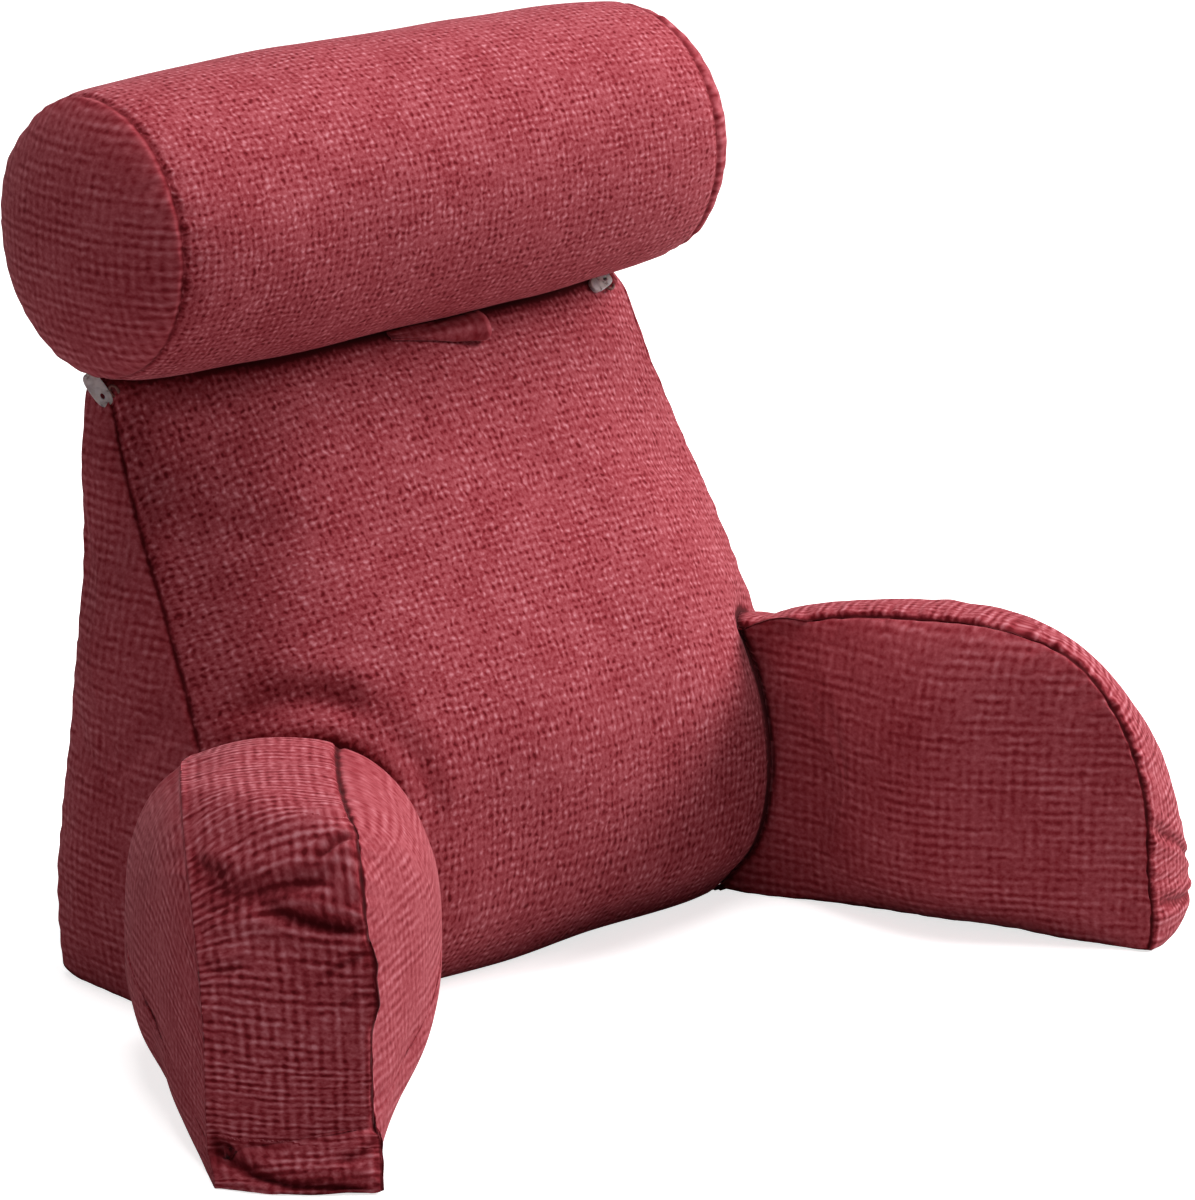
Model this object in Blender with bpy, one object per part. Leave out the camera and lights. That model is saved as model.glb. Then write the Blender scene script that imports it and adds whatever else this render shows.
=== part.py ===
"""A reading pillow with arms and a detachable neck roll, in woven upholstery cloth.

Metres, +Z up. The pillow stands on z = 0 and faces -Y, and X = 0 is its middle.
Each filled cushion is a boxed form: two face panels joined round their rim by a band. It starts as a
UV sphere whose poles are the middles of the faces and whose middle rows are the band.
"""

import math
from collections import namedtuple

import bmesh
import bpy
import numpy as np
from mathutils import Matrix, Vector

# ---- driving sizes -------------------------------------------------------------------------------
GAP = 0.0005  # cloth that touches cloth stays this far from it
DEPTH_SHIFT = -0.085  # moves everything forward, so that the origin is mid-way in the cushion's underside
SEAM_SINK = 0.0028  # how deep a sewn seam draws the cloth in

ROLL_RADIUS = (0.0855, 0.0828)  # of the neck roll at its left and right end
ROLL_SEAM_SHARE = 0.945  # the round end panel is this much smaller than the tube
ROLL_SEAM_LENGTH = 0.404  # from one round seam to the other
ROLL_DOME = (0.030, 0.034)  # how far the left and right end panels swell past their seams
ROLL_CENTRE = (-0.005, 0.123, 0.4388)
ROLL_RISE_DEG = -0.1  # above 0, its right end lies higher than its left

ROLL_SEAM_FALL = 6  # the power with which the tube closes in on its end seams
ROLL_DOME_FALL = 0.6  # the power of the end panels' domes

BACK_CROWN_POWER = 3.1  # of the crown between the back cushion's side seams: more is flatter
SIDE_SWELL = 0.012  # the crown of the back cushion's side panels
SIDE_SWELL_POWER = 2.2
SIDE_CENTRE = (0.095, 0.13)  # y, z of the middle of a side panel
TOP_LEAN = 0.006  # the cushion's top right corner sits this much above the middle, the left one below
TOP_LEAN_HEIGHTS = (0.15, 0.34)  # the lean grows between these heights

GUSSET_WIDTH = 0.085
GUSSET_CROWN = 0.006
ARM_BURIED = 0.20  # the share of its length that the arm's form runs back into the cushion, to be cut off
ARM_ROOT_SKEW = 0.8  # the outer side's buried part is this share shorter than the inner side's
ARM_CENTRE = (0.22, 0.42)  # the middle of an arm's face panel, as shares of its length and height
ARM_SWELL_RIM = (2.6, 0.7)  # the two powers of the swell's rise from its rim
ARM_SWELL_FROM = 0.2  # the share of the length where the swell starts to taper
ARM_DROP_GROWTH = 1.3  # the outer seam's drop is full from 1 / this of the height up

# An arm's own sizes. A pair holds a value at the arm's root and at its tip, or one at its inner and at
# its outer seam or face. A share is one of the arm's length, unless another thing is named.
ARM_FIELDS = (
    "length",  # of the spine, from the root line to the tip
    "splay",  # degrees between the spine and -Y, at the root and at the tip
    "height",  # of the inner seam above the floor
    "drop",  # the outer seam runs this much lower
    "skew",  # the outer side ends this share short of the inner
    "root",  # x, y of the spine's start, as on the right arm
    "widths",  # shares of the gusset's width, at the root and at the tip
    "swell",  # of the inner and the outer face
    "taper",  # the powers that the two swells fall with toward the tip
    "inner_swell_rise",  # the shares where the inner face's swell begins and is full
    "outer_swell_rise",
    "level",  # the shares where the two seams start to fall
    "round",  # the powers of the superellipses that they fall along
    "rise",  # the share of its height that the top gains from the root to the level's end
    "dip",  # the share of its height that the top loses where it enters the cushion
    "toe",  # the share that the foot reaches past the tip
)
Arm = namedtuple("Arm", ARM_FIELDS)
ARMS = {
    "left": Arm(
        length=0.2375,
        splay=(41.7, 28.4),
        height=0.184,
        drop=0.007,
        skew=0.116,
        root=(0.1975, -0.0067),
        widths=(1.03, 1.01),
        swell=(0.055, 0.0335),
        taper=(2.35, 1.05),
        inner_swell_rise=(-0.50, 0.10),
        outer_swell_rise=(-0.12, 0.10),
        level=(0.687, 0.380),
        round=(2.54, 1.83),
        rise=0.022,
        dip=0.095,
        toe=0.08,
    ),
    "right": Arm(
        length=0.2455,
        splay=(30.3, 21.7),
        height=0.1885,
        drop=0.018,
        skew=0.050,
        root=(0.2017, -0.0140),
        widths=(0.78, 1.01),
        swell=(0.049, 0.040),
        taper=(2.20, 1.55),
        inner_swell_rise=(-0.12, 0.51),
        outer_swell_rise=(-0.12, 0.10),
        level=(0.440, 0.356),
        round=(2.95, 2.22),
        rise=0.058,
        dip=0.030,
        toe=0.0,
    ),
}

# The seam round a side panel of the back cushion, from the front foot up, over the top and down.
# swell is the crown, in the middle of the width, of the panel between the two side seams.
SeamPoint = namedtuple("SeamPoint", "y z swell")
SIDE_SEAM = (
    SeamPoint(0.012, 0.004, 0.012),
    SeamPoint(-0.006, 0.050, 0.040),
    SeamPoint(0.006, 0.110, 0.062),
    SeamPoint(0.031, 0.164, 0.066),
    SeamPoint(0.074, 0.240, 0.056),
    SeamPoint(0.112, 0.305, 0.038),
    SeamPoint(0.132, 0.338, 0.026),
    SeamPoint(0.151, 0.342, 0.022),
    SeamPoint(0.151, 0.312, 0.014),
    SeamPoint(0.148, 0.220, 0.022),
    SeamPoint(0.151, 0.100, 0.020),
    SeamPoint(0.151, 0.022, 0.008),
    SeamPoint(0.137, 0.000, 0.000),
    SeamPoint(0.045, 0.000, 0.000),
)

# Half the back cushion's width at its side seams.
Width = namedtuple("Width", "z half_width")
HALF_WIDTH = (
    Width(0.000, 0.2235),
    Width(0.030, 0.2240),
    Width(0.070, 0.2240),
    Width(0.110, 0.2205),
    Width(0.164, 0.2135),
    Width(0.240, 0.2045),
    Width(0.305, 0.1990),
    Width(0.335, 0.1950),
    Width(0.350, 0.1905),
)

# Folds pressed across an arm's gusset: where each starts on the inner seam and ends on the outer seam,
# in metres of rim from the root, how deep it is, and half its width.
Crease = namedtuple("Crease", "inner outer depth half_width")
CREASES = {
    "left": (
        Crease(0.200, 0.157, 0.0022, 0.009),
        Crease(0.222, 0.171, 0.0042, 0.010),
        Crease(0.389, 0.352, 0.0055, 0.012),
    ),
    "right": (
        Crease(0.128, 0.104, 0.0010, 0.012),
        Crease(0.310, 0.334, 0.0022, 0.012),
    ),
}

# The loop of cloth under the roll, whose folded front edge peeps out: its fold's y and z at each x, and
# the space between its two layers.
Fold = namedtuple("Fold", "x y z opening")
STRAP_FOLD = (
    Fold(-0.016, 0.1110, 0.3570, 0.0008),
    Fold(0.010, 0.1030, 0.3555, 0.0018),
    Fold(0.030, 0.0985, 0.3540, 0.0034),
    Fold(0.050, 0.0980, 0.3545, 0.0036),
)
STRAP_THICKNESS = 0.0018
STRAP_DEPTH = 0.016
STRAP_TILT_DEG = 38.0  # its layers rise toward the back

CLASP_SIZE = (0.0095, 0.0270, 0.0026)  # width, length and thickness of the plastic clasp
CLASP_ROUND = 3.4  # the power of the superellipse that it is
CLASP_HOLE = (0.0034, 0.0060)
CLASP_GAP_SCALE = (1.09, 1.03, 1.32)  # keeps the tab about GAP clear of the clasp on every side
CLASP_PLACE = (0.1930, 0.1500, 0.3520)  # on the right of the pillow
CLASP_RUN = (-0.30, -0.42, -0.85)  # the way its length runs down from the roll
CLASP_FACE = (0.75, -0.60, 0.0)  # the way its flat side faces, squared to its length
TAB_SIZE = (0.0112, 0.0090, 0.0046)  # the cloth tab that holds the clasp's lower end
TAB_ROUND = 0.0012
TAB_DROP = 0.0115  # from the clasp's middle down to the tab's

CLOTH_RED = (0.33, 0.035, 0.055)
CLASP_GREY = (0.62, 0.60, 0.60)
CLOTH_ROUGHNESS = 0.9
CLASP_ROUGHNESS = 0.3


def fresh_scene():
    """Removes what the startup scene holds."""
    for obj in list(bpy.data.objects):
        bpy.data.objects.remove(obj, do_unlink=True)


def collection(name):
    made = bpy.data.collections.new(name)
    bpy.context.scene.collection.children.link(made)
    return made


def blend(start, end, share):
    return start + (end - start) * share


def smooth_step(low, high, value):
    t = max(0.0, min(1.0, (value - low) / (high - low)))
    return t * t * (3 - 2 * t)


def closed_curve(rows, share):
    """The point at a share (0 to 1) of the smooth closed curve through the rows."""
    count = len(rows)
    at = (share % 1.0) * count
    k = int(math.floor(at))
    f = at - k
    before, start, end, after = (rows[(k + j - 1) % count] for j in range(4))
    leave, arrive = (end - before) / 2, (after - start) / 2
    return (
        (2 * f**3 - 3 * f**2 + 1) * start
        + (f**3 - 2 * f**2 + f) * leave
        + (3 * f**2 - 2 * f**3) * end
        + (f**3 - f**2) * arrive
    )


def spaced_curve(rows, count, sparse=lambda first, second: False):
    """count points round the closed curve through the rows, whose first two columns are lengths. They
    are evenly spaced, but three times as far apart where sparse says. A last column is added, the
    length run so far."""
    rows = np.asarray(rows, float)
    fine = np.array([closed_curve(rows, k / 960) for k in range(961)])
    steps = np.linalg.norm(np.diff(fine[:, :2], axis=0), axis=1)
    run = np.concatenate([[0.0], np.cumsum(steps)])
    weight = np.array([1 / 3 if sparse(*point) else 1.0 for point in fine[:-1, :2]])
    weighted = np.concatenate([[0.0], np.cumsum(steps * weight)])
    at = np.interp(np.linspace(0.0, weighted[-1], count + 1)[:-1], weighted, run)
    return np.column_stack([np.interp(at, run, column) for column in fine.T] + [at])


def outward_normals(curve, centre):
    """The outward direction at each point of a closed curve round the centre."""
    tangent = np.roll(curve, -1, axis=0)[:, :2] - np.roll(curve, 1, axis=0)[:, :2]
    tangent /= np.linalg.norm(tangent, axis=1)[:, None]
    normal = np.column_stack([-tangent[:, 1], tangent[:, 0]])
    return normal if ((curve[:, :2] - centre) * normal).sum() > 0 else -normal


def material(name, colour, roughness):
    made = bpy.data.materials.new(name)
    made.use_nodes = True
    shader = made.node_tree.nodes["Principled BSDF"]
    shader.inputs["Base Color"].default_value = (*colour, 1.0)
    shader.inputs["Roughness"].default_value = roughness
    shader.inputs["Metallic"].default_value = 0.0
    return made


def finish(name, mesh, into, made_of):
    """Puts a mesh into a new object of that name, smooth and with its material."""
    mesh.shade_smooth()
    mesh.materials.append(made_of)
    obj = bpy.data.objects.new(name, mesh)
    into.objects.link(obj)
    return obj


def boxed_form(name, around, rows, band_share, place):
    """A closed mesh from a UV sphere. place(k, band, disc, side) gives each point: k is the step round
    the rim, band runs -1 to 1 across the band, and disc 1 to 0 from a face's rim to its middle."""
    bm = bmesh.new()
    bmesh.ops.create_uvsphere(bm, u_segments=around, v_segments=rows, radius=1.0)
    for v in bm.verts:
        k = round(math.atan2(v.co.y, v.co.x) / (2 * math.pi) * around) % around
        lift = math.asin(max(-1.0, min(1.0, v.co.z))) / (math.pi / 2)
        side = 1 if lift > 0 else -1
        if abs(lift) <= band_share + 1e-6:
            v.co = place(k, lift / band_share, 1.0, side)
        else:
            v.co = place(k, side, (1 - abs(lift)) / (1 - band_share), side)
    bmesh.ops.triangulate(bm, faces=bm.faces)
    if bm.calc_volume(signed=True) < 0:
        bmesh.ops.reverse_faces(bm, faces=bm.faces)
    mesh = bpy.data.meshes.new(name)
    bm.to_mesh(mesh)
    bm.free()
    return mesh


def grown(mesh, by):
    """The same closed mesh with its surface moved outward."""
    for vertex, normal in zip(mesh.vertices, [n.vector.copy() for n in mesh.vertex_normals]):
        vertex.co += normal * by
    return mesh


def seam_dip(band):
    """The drawn-in cloth at a band's two seams."""
    return SEAM_SINK if abs(band) > 0.999 else 0.0


def back_cushion_mesh(around=68, rows=32, band_share=0.6875):
    """The wedge that the reader leans on."""
    centre = np.array(SIDE_CENTRE)
    seam = spaced_curve(SIDE_SEAM, around)
    outward = outward_normals(seam, centre)
    half_widths = np.array(HALF_WIDTH).T

    def seam_height(disc, z):
        return centre[1] + (z - centre[1]) * disc

    def place(k, band, disc, side):
        y, z, swell, _ = seam[k]
        crown = swell * (1 - abs(band) ** BACK_CROWN_POWER) - seam_dip(band)
        rim = centre + (np.array([y, z]) + outward[k] * crown - centre) * disc
        half_width = np.interp(seam_height(disc, z), *half_widths)
        x = band * half_width + side * SIDE_SWELL * (1 - disc**SIDE_SWELL_POWER)
        z = max(rim[1], 0.0)
        z += TOP_LEAN * x / half_width * smooth_step(*TOP_LEAN_HEIGHTS, z)
        return (x, rim[0] + DEPTH_SHIFT, z)

    return boxed_form("back_cushion", around, rows, band_share, place)


def arm_outline(arm, along, share=0.0):
    """The arm's height at a share along it, as a share of its full height. The other share runs from
    0 at the inner seam to 1 at the outer."""
    level, power = blend(*arm.level, share), blend(*arm.round, share)
    if along <= level:
        return 1.0 - arm.rise * (1 - along / level) - arm.dip * (1 - smooth_step(-0.16, 0.16, along))
    fall = min(1.0, (along - level) / (1 - level))
    return (1 - fall**power) ** (1 / power)


def arm_spine(arm, along):
    """x, y of an arm's spine at a length along it, and its outward direction there, both as on the
    right of the pillow."""
    steps = 24
    x, y = arm.root
    root, tip = (math.radians(angle) for angle in arm.splay)
    turn = (tip - root) / arm.length
    for j in range(steps):
        angle = root + turn * along * (j + 0.5) / steps
        x += math.sin(angle) * along / steps
        y -= math.cos(angle) * along / steps
    angle = root + turn * along
    return x, y, math.cos(angle), math.sin(angle)


def arm_rim(arm, count):
    """Points round an arm's face panel, as lengths along the arm and up: the top from the buried end to
    the tip, the sole back, and the buried end."""
    toe = arm.toe
    top = (-ARM_BURIED, -0.08, 0.1, 0.3, 0.5, 0.64, 0.75, 0.84, 0.91, 0.96, 0.985, 0.998)
    rows = [(along, arm_outline(arm, along)) for along in top]
    rows += [(1.004 + 0.3 * toe, 0.16), (0.998 + toe, 0.03), (0.95 + toe, 0.0), (0.7, 0.0)]
    rows += [(0.3, 0.0), (-0.1, 0.0), (-ARM_BURIED, 0.02)]
    rows += [(-ARM_BURIED - 0.015, 0.3), (-ARM_BURIED - 0.015, 0.7)]
    rows = [(along * arm.length, height * arm.height) for along, height in rows]
    return spaced_curve(rows, count, lambda along, height: height < 0.002 or along < -0.12 * arm.length)


def crease_depth(creases, run, share):
    """How deep the gusset's folds are at a length of rim and a share across it."""
    depth = 0.0
    for crease in creases:
        off = (run - blend(crease.inner, crease.outer, share)) / crease.half_width
        depth += crease.depth * math.exp(-off * off)
    return depth


def arm_mesh(hand, around=68, rows=26, band_share=0.3846):
    """One arm, still running into the cushion."""
    mirror = 1 if hand == "right" else -1
    arm = ARMS[hand]
    rim = arm_rim(arm, around)
    centre = np.array([ARM_CENTRE[0] * arm.length, ARM_CENTRE[1] * arm.height])
    outward = outward_normals(rim, centre)
    buried = ARM_BURIED * arm.length

    def place(k, band, disc, side):
        along, height, run = rim[k]
        share = (band + 1) / 2
        bulge = 0.0
        if disc >= 1.0:
            crown = GUSSET_CROWN * (1 - band**2) - seam_dip(band)
            if height > 0.004:
                crown -= crease_depth(CREASES[hand], run - buried, share) * (1 - 0.5 * band**4)
            along, height = rim[k][:2] + outward[k] * crown
        else:
            along, height = centre + (rim[k][:2] - centre) * disc
            face = 1 if side > 0 else 0
            taper = max(0.0, along / arm.length - ARM_SWELL_FROM) / (1 - ARM_SWELL_FROM)
            from_rim = (1 - disc ** ARM_SWELL_RIM[0]) ** ARM_SWELL_RIM[1]
            bulge = arm.swell[face] * from_rim * (1 - min(1.0, taper) ** arm.taper[face])
            rises = arm.outer_swell_rise if face else arm.inner_swell_rise
            bulge *= smooth_step(*rises, along / arm.length)
        if along < 0:
            along *= 1 - ARM_ROOT_SKEW * share
        width = GUSSET_WIDTH * blend(*arm.widths, min(1.0, along / arm.length))
        across = band * width / 2 + side * bulge
        # Just short of the tip, where both heights are 0
        at = 0.985 * max(0.02, min(1.0, along / arm.length))
        height *= arm_outline(arm, at, share) / arm_outline(arm, at)
        height -= arm.drop * share * min(1.0, max(height, 0.0) / arm.height * ARM_DROP_GROWTH)
        along *= 1 - arm.skew * share * max(0.0, min(1.0, along / arm.length))
        x, y, out_x, out_y = arm_spine(arm, along)
        return (mirror * (x + out_x * across), y + out_y * across + DEPTH_SHIFT, max(height, 0.0))

    return boxed_form("arm", around, rows, band_share, place)


def neck_roll_mesh(around=44, rows=22, band_share=0.6364):
    """The bolster: a tube with a round domed panel sewn into each end."""
    rise = math.radians(ROLL_RISE_DEG)
    cx, cy, cz = ROLL_CENTRE

    def place(k, band, disc, side):
        angle = 2 * math.pi * k / around
        tube = blend(*ROLL_RADIUS, (band + 1) / 2)
        shrink = 1 - (1 - ROLL_SEAM_SHARE) * abs(band) ** ROLL_SEAM_FALL
        radius = (tube * shrink - seam_dip(band)) * disc
        dome = ROLL_DOME[0] if side < 0 else ROLL_DOME[1]
        x = band * ROLL_SEAM_LENGTH / 2 + side * dome * (1 - disc**2) ** ROLL_DOME_FALL
        y, z = radius * math.cos(angle), radius * math.sin(angle)
        return (
            cx + x * math.cos(rise) - z * math.sin(rise),
            cy + y + DEPTH_SHIFT,
            cz + x * math.sin(rise) + z * math.cos(rise),
        )

    return boxed_form("neck_roll", around, rows, band_share, place)


def strap_section(opening):
    """The hairpin's outline as (back, up) points, its fold at (0, 0)."""
    outer, inner = STRAP_THICKNESS + opening / 2, opening / 2
    turns = [math.pi / 2 + math.pi * j / 8 for j in range(9)]
    points = [(STRAP_DEPTH, outer)]
    points += [(outer + outer * math.cos(turn), outer * math.sin(turn)) for turn in turns]
    points += [(STRAP_DEPTH, -outer), (STRAP_DEPTH, -inner)]
    points += [(outer + inner * math.cos(turn), inner * math.sin(turn)) for turn in reversed(turns)]
    return points + [(STRAP_DEPTH, inner)]


def strap_mesh(along=12):
    """The folded strap: a hairpin of cloth lofted along X, its fold to the front."""
    columns = np.array(STRAP_FOLD).T
    tilt = math.radians(STRAP_TILT_DEG)
    bm = bmesh.new()
    rings = []
    for x in np.linspace(STRAP_FOLD[0].x, STRAP_FOLD[-1].x, along + 1):
        nose_y, nose_z, opening = (np.interp(x, columns[0], column) for column in columns[1:])
        ring = []
        for back, up in strap_section(opening):
            y = nose_y + back * math.cos(tilt) - up * math.sin(tilt)
            z = nose_z + back * math.sin(tilt) + up * math.cos(tilt)
            ring.append(bm.verts.new((x, y + DEPTH_SHIFT, z)))
        rings.append(ring)
    count = len(rings[0])
    for ring, after in zip(rings, rings[1:]):
        for j in range(count):
            bm.faces.new((ring[j], ring[(j + 1) % count], after[(j + 1) % count], after[j]))
    bm.faces.new(rings[0])
    bm.faces.new(rings[-1])
    bmesh.ops.recalc_face_normals(bm, faces=bm.faces)
    bmesh.ops.triangulate(bm, faces=bm.faces)
    mesh = bpy.data.meshes.new("centre_strap")
    bm.to_mesh(mesh)
    bm.free()
    return mesh


def oval_spline(curve, width, length, power, count):
    """Adds a closed superellipse to a 2D curve."""
    spline = curve.splines.new("POLY")
    spline.points.add(count - 1)
    for k, point in enumerate(spline.points):
        angle = 2 * math.pi * k / count
        x, y = math.cos(angle), math.sin(angle)
        x = math.copysign(abs(x) ** (2 / power), x) * width / 2
        y = math.copysign(abs(y) ** (2 / power), y) * length / 2
        point.co = (x, y, 0.0, 1.0)
    spline.use_cyclic_u = True


def clasp_frame(hand, drop=0.0):
    """The matrix that stands a thing at the clasp, drop further down its length."""
    mirror = 1 if hand == "right" else -1
    run = Vector(CLASP_RUN).normalized()
    face = Vector(CLASP_FACE)
    face = (face - run * face.dot(run)).normalized()
    place = Vector(CLASP_PLACE) + Vector((0, DEPTH_SHIFT, 0)) + run * drop
    place.z += mirror * TOP_LEAN
    for vector in (run, face, place):
        vector.x *= mirror
    across = run.cross(face)
    return Matrix.Translation(place) @ Matrix((across, run, face)).transposed().to_4x4()


def clasp_mesh():
    """A flat oblong link with an oval eye, its length along Y."""
    curve = bpy.data.curves.new("clasp", "CURVE")
    curve.dimensions = "2D"
    curve.fill_mode = "BOTH"
    curve.extrude = CLASP_SIZE[2] / 2
    oval_spline(curve, CLASP_SIZE[0], CLASP_SIZE[1], CLASP_ROUND, 28)
    oval_spline(curve, *CLASP_HOLE, 2.0, 14)
    guide = bpy.data.objects.new("clasp_outline", curve)
    bpy.context.scene.collection.objects.link(guide)
    depsgraph = bpy.context.evaluated_depsgraph_get()
    mesh = bpy.data.meshes.new_from_object(guide.evaluated_get(depsgraph))
    bpy.data.objects.remove(guide, do_unlink=True)
    bm = bmesh.new()
    bm.from_mesh(mesh)
    bmesh.ops.remove_doubles(bm, verts=bm.verts, dist=0.00001)
    bmesh.ops.recalc_face_normals(bm, faces=bm.faces)
    bm.to_mesh(mesh)
    bm.free()
    return mesh


def tab_mesh():
    """The cloth tab folded round the clasp's lower end, as one soft block."""
    bm = bmesh.new()
    bmesh.ops.create_cube(bm, size=1.0)
    bmesh.ops.scale(bm, vec=TAB_SIZE, verts=bm.verts)
    bmesh.ops.bevel(bm, geom=bm.edges, offset=TAB_ROUND, segments=2, affect="EDGES", profile=0.5)
    mesh = bpy.data.meshes.new("clasp_tab")
    bm.to_mesh(mesh)
    bm.free()
    return mesh


def main():
    fresh_scene()
    pillow = collection("reading_pillow")
    cutters = collection("cutters")
    cut_material = material("cutter", CLASP_GREY, CLOTH_ROUGHNESS)

    def cutter(name, mesh):
        obj = finish(name, mesh, cutters, cut_material)
        obj.hide_render = True
        obj.display_type = "WIRE"
        return obj

    def sewn(name, mesh):
        return finish(name, mesh, pillow, material(name, CLOTH_RED, CLOTH_ROUGHNESS))

    def cut(obj, *cutters_of_it):
        for k, by in enumerate(cutters_of_it):
            made = obj.modifiers.new(f"cut{k}", "BOOLEAN")
            made.object = by
            made.operation = "DIFFERENCE"

    round_roll = cutter("roll_with_gap", grown(neck_roll_mesh(), GAP))
    round_back = cutter("cushion_with_gap", grown(back_cushion_mesh(), GAP))
    cut(sewn("back_cushion", back_cushion_mesh()), round_roll)
    sewn("neck_roll", neck_roll_mesh())
    cut(sewn("centre_strap", strap_mesh()), round_back, round_roll)
    for hand in ("left", "right"):
        cut(sewn(f"arm_{hand}", arm_mesh(hand)), round_back)
        clasp_look = material(f"clasp_{hand}", CLASP_GREY, CLASP_ROUGHNESS)
        clasp = finish(f"clasp_{hand}", clasp_mesh(), pillow, clasp_look)
        clasp.matrix_world = clasp_frame(hand)
        cut(clasp, round_back, round_roll)
        round_clasp = cutter(f"clasp_with_gap_{hand}", clasp_mesh())
        round_clasp.matrix_world = clasp_frame(hand) @ Matrix.Diagonal((*CLASP_GAP_SCALE, 1.0))
        tab = sewn(f"clasp_tab_{hand}", tab_mesh())
        tab.matrix_world = clasp_frame(hand, TAB_DROP)
        cut(tab, round_back, round_clasp)


main()
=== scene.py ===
# %% [markdown]
# # A reading pillow with arms and a neck roll
# The real object is sewn from one coarse woven cloth: a filled wedge to lean on, two filled arms that
# open like an armchair's, and a bolster tied on top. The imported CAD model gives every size, and this
# script dresses it: each cushion is built again as cloth, with its seams, its folds and its weave.
# Lengths are metres, +Z is up, and the pillow faces -Y.

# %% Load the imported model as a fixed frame
import math

import bpy
import numpy as np
from mathutils import Matrix, Vector, noise
from mathutils.bvhtree import BVHTree


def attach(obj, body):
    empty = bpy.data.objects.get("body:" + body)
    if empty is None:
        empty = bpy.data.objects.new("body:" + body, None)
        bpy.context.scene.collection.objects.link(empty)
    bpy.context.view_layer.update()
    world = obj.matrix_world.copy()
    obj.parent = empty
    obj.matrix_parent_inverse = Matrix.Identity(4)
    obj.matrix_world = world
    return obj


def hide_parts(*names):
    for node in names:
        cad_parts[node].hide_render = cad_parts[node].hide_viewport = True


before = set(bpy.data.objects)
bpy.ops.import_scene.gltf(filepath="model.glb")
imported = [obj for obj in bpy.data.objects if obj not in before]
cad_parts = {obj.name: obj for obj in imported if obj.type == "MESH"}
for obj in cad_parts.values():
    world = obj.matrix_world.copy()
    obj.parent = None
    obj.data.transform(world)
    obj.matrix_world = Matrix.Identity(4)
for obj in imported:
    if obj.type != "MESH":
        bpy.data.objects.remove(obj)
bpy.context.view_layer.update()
scene = bpy.context.scene
print("CAD nodes:", sorted(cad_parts))


def new_object(name, data):
    made = bpy.data.objects.new(name, data)
    scene.collection.objects.link(made)
    return made


# %% [markdown]
# ## Camera
# The camera comes first, so that every piece can be judged from the photograph's own place. It stands
# almost 4 m away with a long lens, which is why the pillow shows hardly any perspective. The lens
# points a little beside the pillow, and nothing is shifted, so other views can turn freely.

# %% Stand the camera where the photograph was taken
VIEW_AZIMUTH_DEG = -41.136
VIEW_ELEVATION_DEG = 16.055
VIEW_DISTANCE = 3.84
VIEW_TARGET = Vector((0.0, -0.085, 0.28))
FOCAL_PIXELS = 6719.6
TARGET_OFF_CENTRE = (76.6, 111.2)  # pixels right of and below the target, where the lens points
PICTURE_HEIGHT = 1200  # its longer side, which the sensor's width stands for
SENSOR = 36.0

azimuth, elevation = math.radians(VIEW_AZIMUTH_DEG), math.radians(VIEW_ELEVATION_DEG)
level = math.cos(elevation)
back = Vector((math.sin(azimuth) * level, -math.cos(azimuth) * level, math.sin(elevation)))
right = Vector((math.cos(azimuth), math.sin(azimuth), 0.0))
up = back.cross(right)
aim = -back * FOCAL_PIXELS + right * TARGET_OFF_CENTRE[0] - up * TARGET_OFF_CENTRE[1]
camera = new_object("camera", bpy.data.cameras.new("camera"))
camera.location = VIEW_TARGET + back * VIEW_DISTANCE
camera.rotation_euler = aim.to_track_quat("-Z", "Y").to_euler()
camera.data.sensor_width = SENSOR
camera.data.lens = FOCAL_PIXELS * SENSOR / PICTURE_HEIGHT
camera.data.clip_end = 60.0
scene.camera = camera
print(f"Camera: {camera.data.lens:.1f} mm lens at {tuple(round(x, 3) for x in camera.location)}")


# %% Small helpers for materials and their nodes
def feed(tree, node, links):
    """Gives each named input of a node a value or another node's output."""
    for key, value in links.items():
        if isinstance(value, bpy.types.NodeSocket):
            tree.links.new(value, node.inputs[key])
        else:
            node.inputs[key].default_value = value


def wire(tree, kind, links=None, **settings):
    """A new node with its settings and its inputs."""
    node = tree.nodes.new(kind)
    for key, value in settings.items():
        setattr(node, key, value)
    feed(tree, node, links or {})
    return node


def calc(tree, operation, *values):
    return wire(tree, "ShaderNodeMath", dict(enumerate(values)), operation=operation).outputs[0]


def ramp(tree, value, low, high, start=0.0, end=1.0):
    """The value carried smoothly from start at low to end at high."""
    links = {"Value": value, "From Min": low, "From Max": high, "To Min": start, "To Max": end}
    return wire(tree, "ShaderNodeMapRange", links, interpolation_type="SMOOTHSTEP").outputs["Result"]


def colour_stops(tree, value, rows):
    """A colour that follows the value through (value, colour) rows."""
    node = wire(tree, "ShaderNodeValToRGB", {"Fac": value})
    stops = node.color_ramp.elements
    for at, _ in rows[2:]:
        stops.new(at)
    for stop, (at, colour) in zip(stops, rows):
        stop.position, stop.color = at, (*colour, 1.0)
    return node.outputs["Color"]


def new_material(name, **finish):
    """A material, its node tree and its shader, with the shader's inputs that finish names."""
    made = bpy.data.materials.new(name)
    made.use_nodes = True
    shader = made.node_tree.nodes["Principled BSDF"]
    named = {label.replace("_", " ").title(): value for label, value in finish.items()}
    feed(made.node_tree, shader, named)
    return made, made.node_tree, shader


# %% [markdown]
# ## Floor and studio light
# The floor is a plain pale sheet, which glows a little for the camera only, so that it looks as white
# as a studio's backdrop. One big soft light stands high on the right, one hangs overhead, and a faint
# one fills from the left. Large lights leave the soft shading that makes folds and weave readable.

# %% Lay the floor and hang the lights
scene.view_settings.view_transform = "Standard"
scene.view_settings.look = "Medium High Contrast"

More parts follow.
